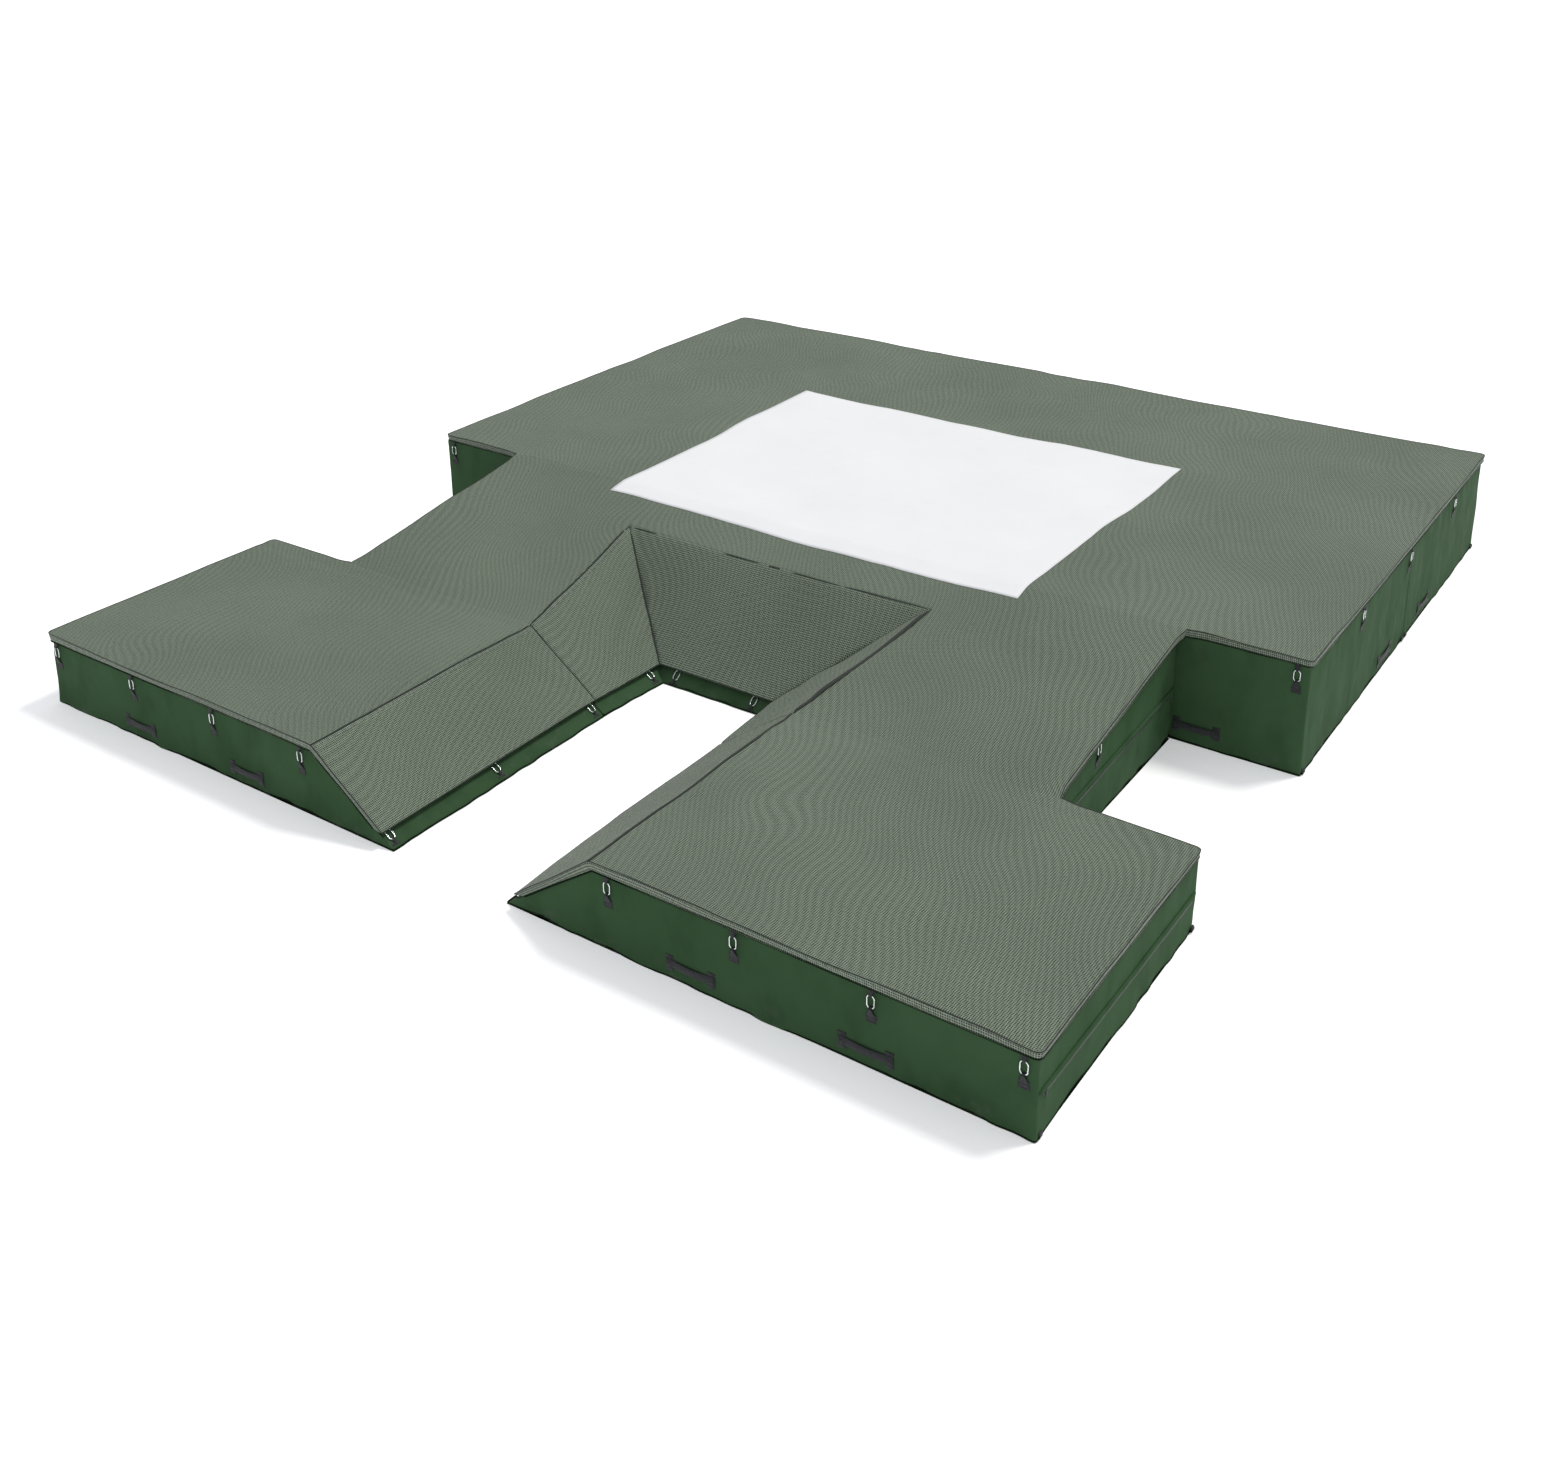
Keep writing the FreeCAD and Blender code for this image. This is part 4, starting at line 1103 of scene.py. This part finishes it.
def corner_loops():
    """Small webbing loops at the floor near the corners of the units."""
    loops = Bundle()
    wide, thick, tall, reach = 0.030, 0.0025, 0.038, 0.013
    turn = np.linspace(0, math.pi, 13)
    for side in (-1, 1):
        places = [(WING_HALF, y) for y in WING_LOOPS_Y] + [(BACK_HALF, y) for y in BACK_LOOPS_Y]
        for face, y in places:
            out = 0.0012 + reach * np.sin(turn) ** 0.8
            z = 0.005 + tall * (1 + np.cos(turn)) / 2 * 0.9
            path = np.stack((side * (face + out), np.full_like(out, y), z), -1)
            normal = unit(np.stack((side * np.sin(turn) + 1e-3 * side, np.zeros_like(out),
                                    np.cos(turn)), -1))
            loops.sweep(path, normal, [(x, t - thick / 2) for x, t in strap_profile(wide, thick)])
    piece = loops.piece("corner_floor_loops", STRAP, "base", "webbing")
    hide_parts("floor_loops")


def finish_nodes():
    """Better materials on the CAD parts that keep their own shape."""
    finishes = {"hem_tabs": STRAP_CAD, "clip_loops": STRAP_CAD, "clip_patches": STRAP_CAD,
                "fixed_gates": STEEL}
    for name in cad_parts:
        if name.endswith("_clips") or "_gate_" in name:
            finishes[name] = STEEL
        elif name.endswith("_slider"):
            finishes[name] = SLIDER
        elif name.endswith("_zip"):
            finishes[name] = ZIP
    for name, material in finishes.items():
        item = bpy.data.objects[name]
        item.data.materials.clear()
        item.data.materials.append(material)


# Stage


FLOOR_HALF, FLOOR_LEVEL = 150.0, -0.001
SKY, SKY_STRENGTH = (0.97, 0.985, 1.03, 1.0), 0.66
SUN, SUN_STRENGTH, SUN_SPREAD, SUN_AHEAD = (1.03, 1.01, 0.96), 1.75, 13, (-0.27, -0.42, -0.87)


def stage():
    """A white floor under an even sky, and one soft sun from the rear right."""
    mesh = bpy.data.meshes.new("studio_floor")
    mesh.from_pydata([(x * FLOOR_HALF, y * FLOOR_HALF, FLOOR_LEVEL)
                      for x, y in ((-1, -1), (1, -1), (1, 1), (-1, 1))], [], [(0, 1, 2, 3)])
    mesh.materials.append(floor_paint("studio_floor_paint"))
    placed("studio_floor", mesh)

    world = bpy.data.worlds.new("studio")
    world.use_nodes = True
    background = world.node_tree.nodes["Background"].inputs
    background["Color"].default_value = SKY
    background["Strength"].default_value = SKY_STRENGTH
    bpy.context.scene.world = world

    lamp = bpy.data.lights.new("key", "SUN")
    lamp.color, lamp.energy, lamp.angle = SUN, SUN_STRENGTH, math.radians(SUN_SPREAD)
    placed("key", lamp).rotation_euler = Vector(SUN_AHEAD).to_track_quat("-Z", "Y").to_euler()
    bpy.context.scene.view_settings.view_transform = "Standard"


def camera():
    lens, shift = 39.65, -0.20
    azimuth, elevation, roll = (math.radians(a) for a in (-34.62, 19.51, -0.36))
    ahead = Vector((math.sin(azimuth) * math.cos(elevation),
                    math.cos(azimuth) * math.cos(elevation), -math.sin(elevation)))
    right = Vector((math.cos(azimuth), -math.sin(azimuth), 0.0))
    above = right.cross(ahead)
    turned = right * math.cos(roll) + above * math.sin(roll)
    upward = above * math.cos(roll) - right * math.sin(roll)
    view = bpy.data.cameras.new("camera")
    view.lens, view.sensor_width, view.shift_y = lens, 36.0, shift
    view.clip_start, view.clip_end = 0.05, 500.0
    item = placed("camera", view)
    rotation = Matrix((turned, upward, -ahead)).transposed().to_4x4()
    item.matrix_world = Matrix.Translation((6.29, -5.80 + FRONT_Y, 5.72)) @ rotation
    bpy.context.scene.camera = item


camera()
stage()
build_pad()
fold_seam_cords_and_groove_shade()
landing_panel()
for unit_side, unit_word in ((-1, "left"), (1, "right")):
    wing_cover(unit_side, unit_word)
middle_cover()
landing_cover("front", MID_END + UNIT_GAP / 2, UNIT_JOINT - UNIT_GAP / 2)
landing_cover("rear", UNIT_JOINT + UNIT_GAP / 2, PIT_LEN)
floor_piping()
storm_flaps()
carry_handles()
clip_tabs()
corner_loops()
finish_nodes()
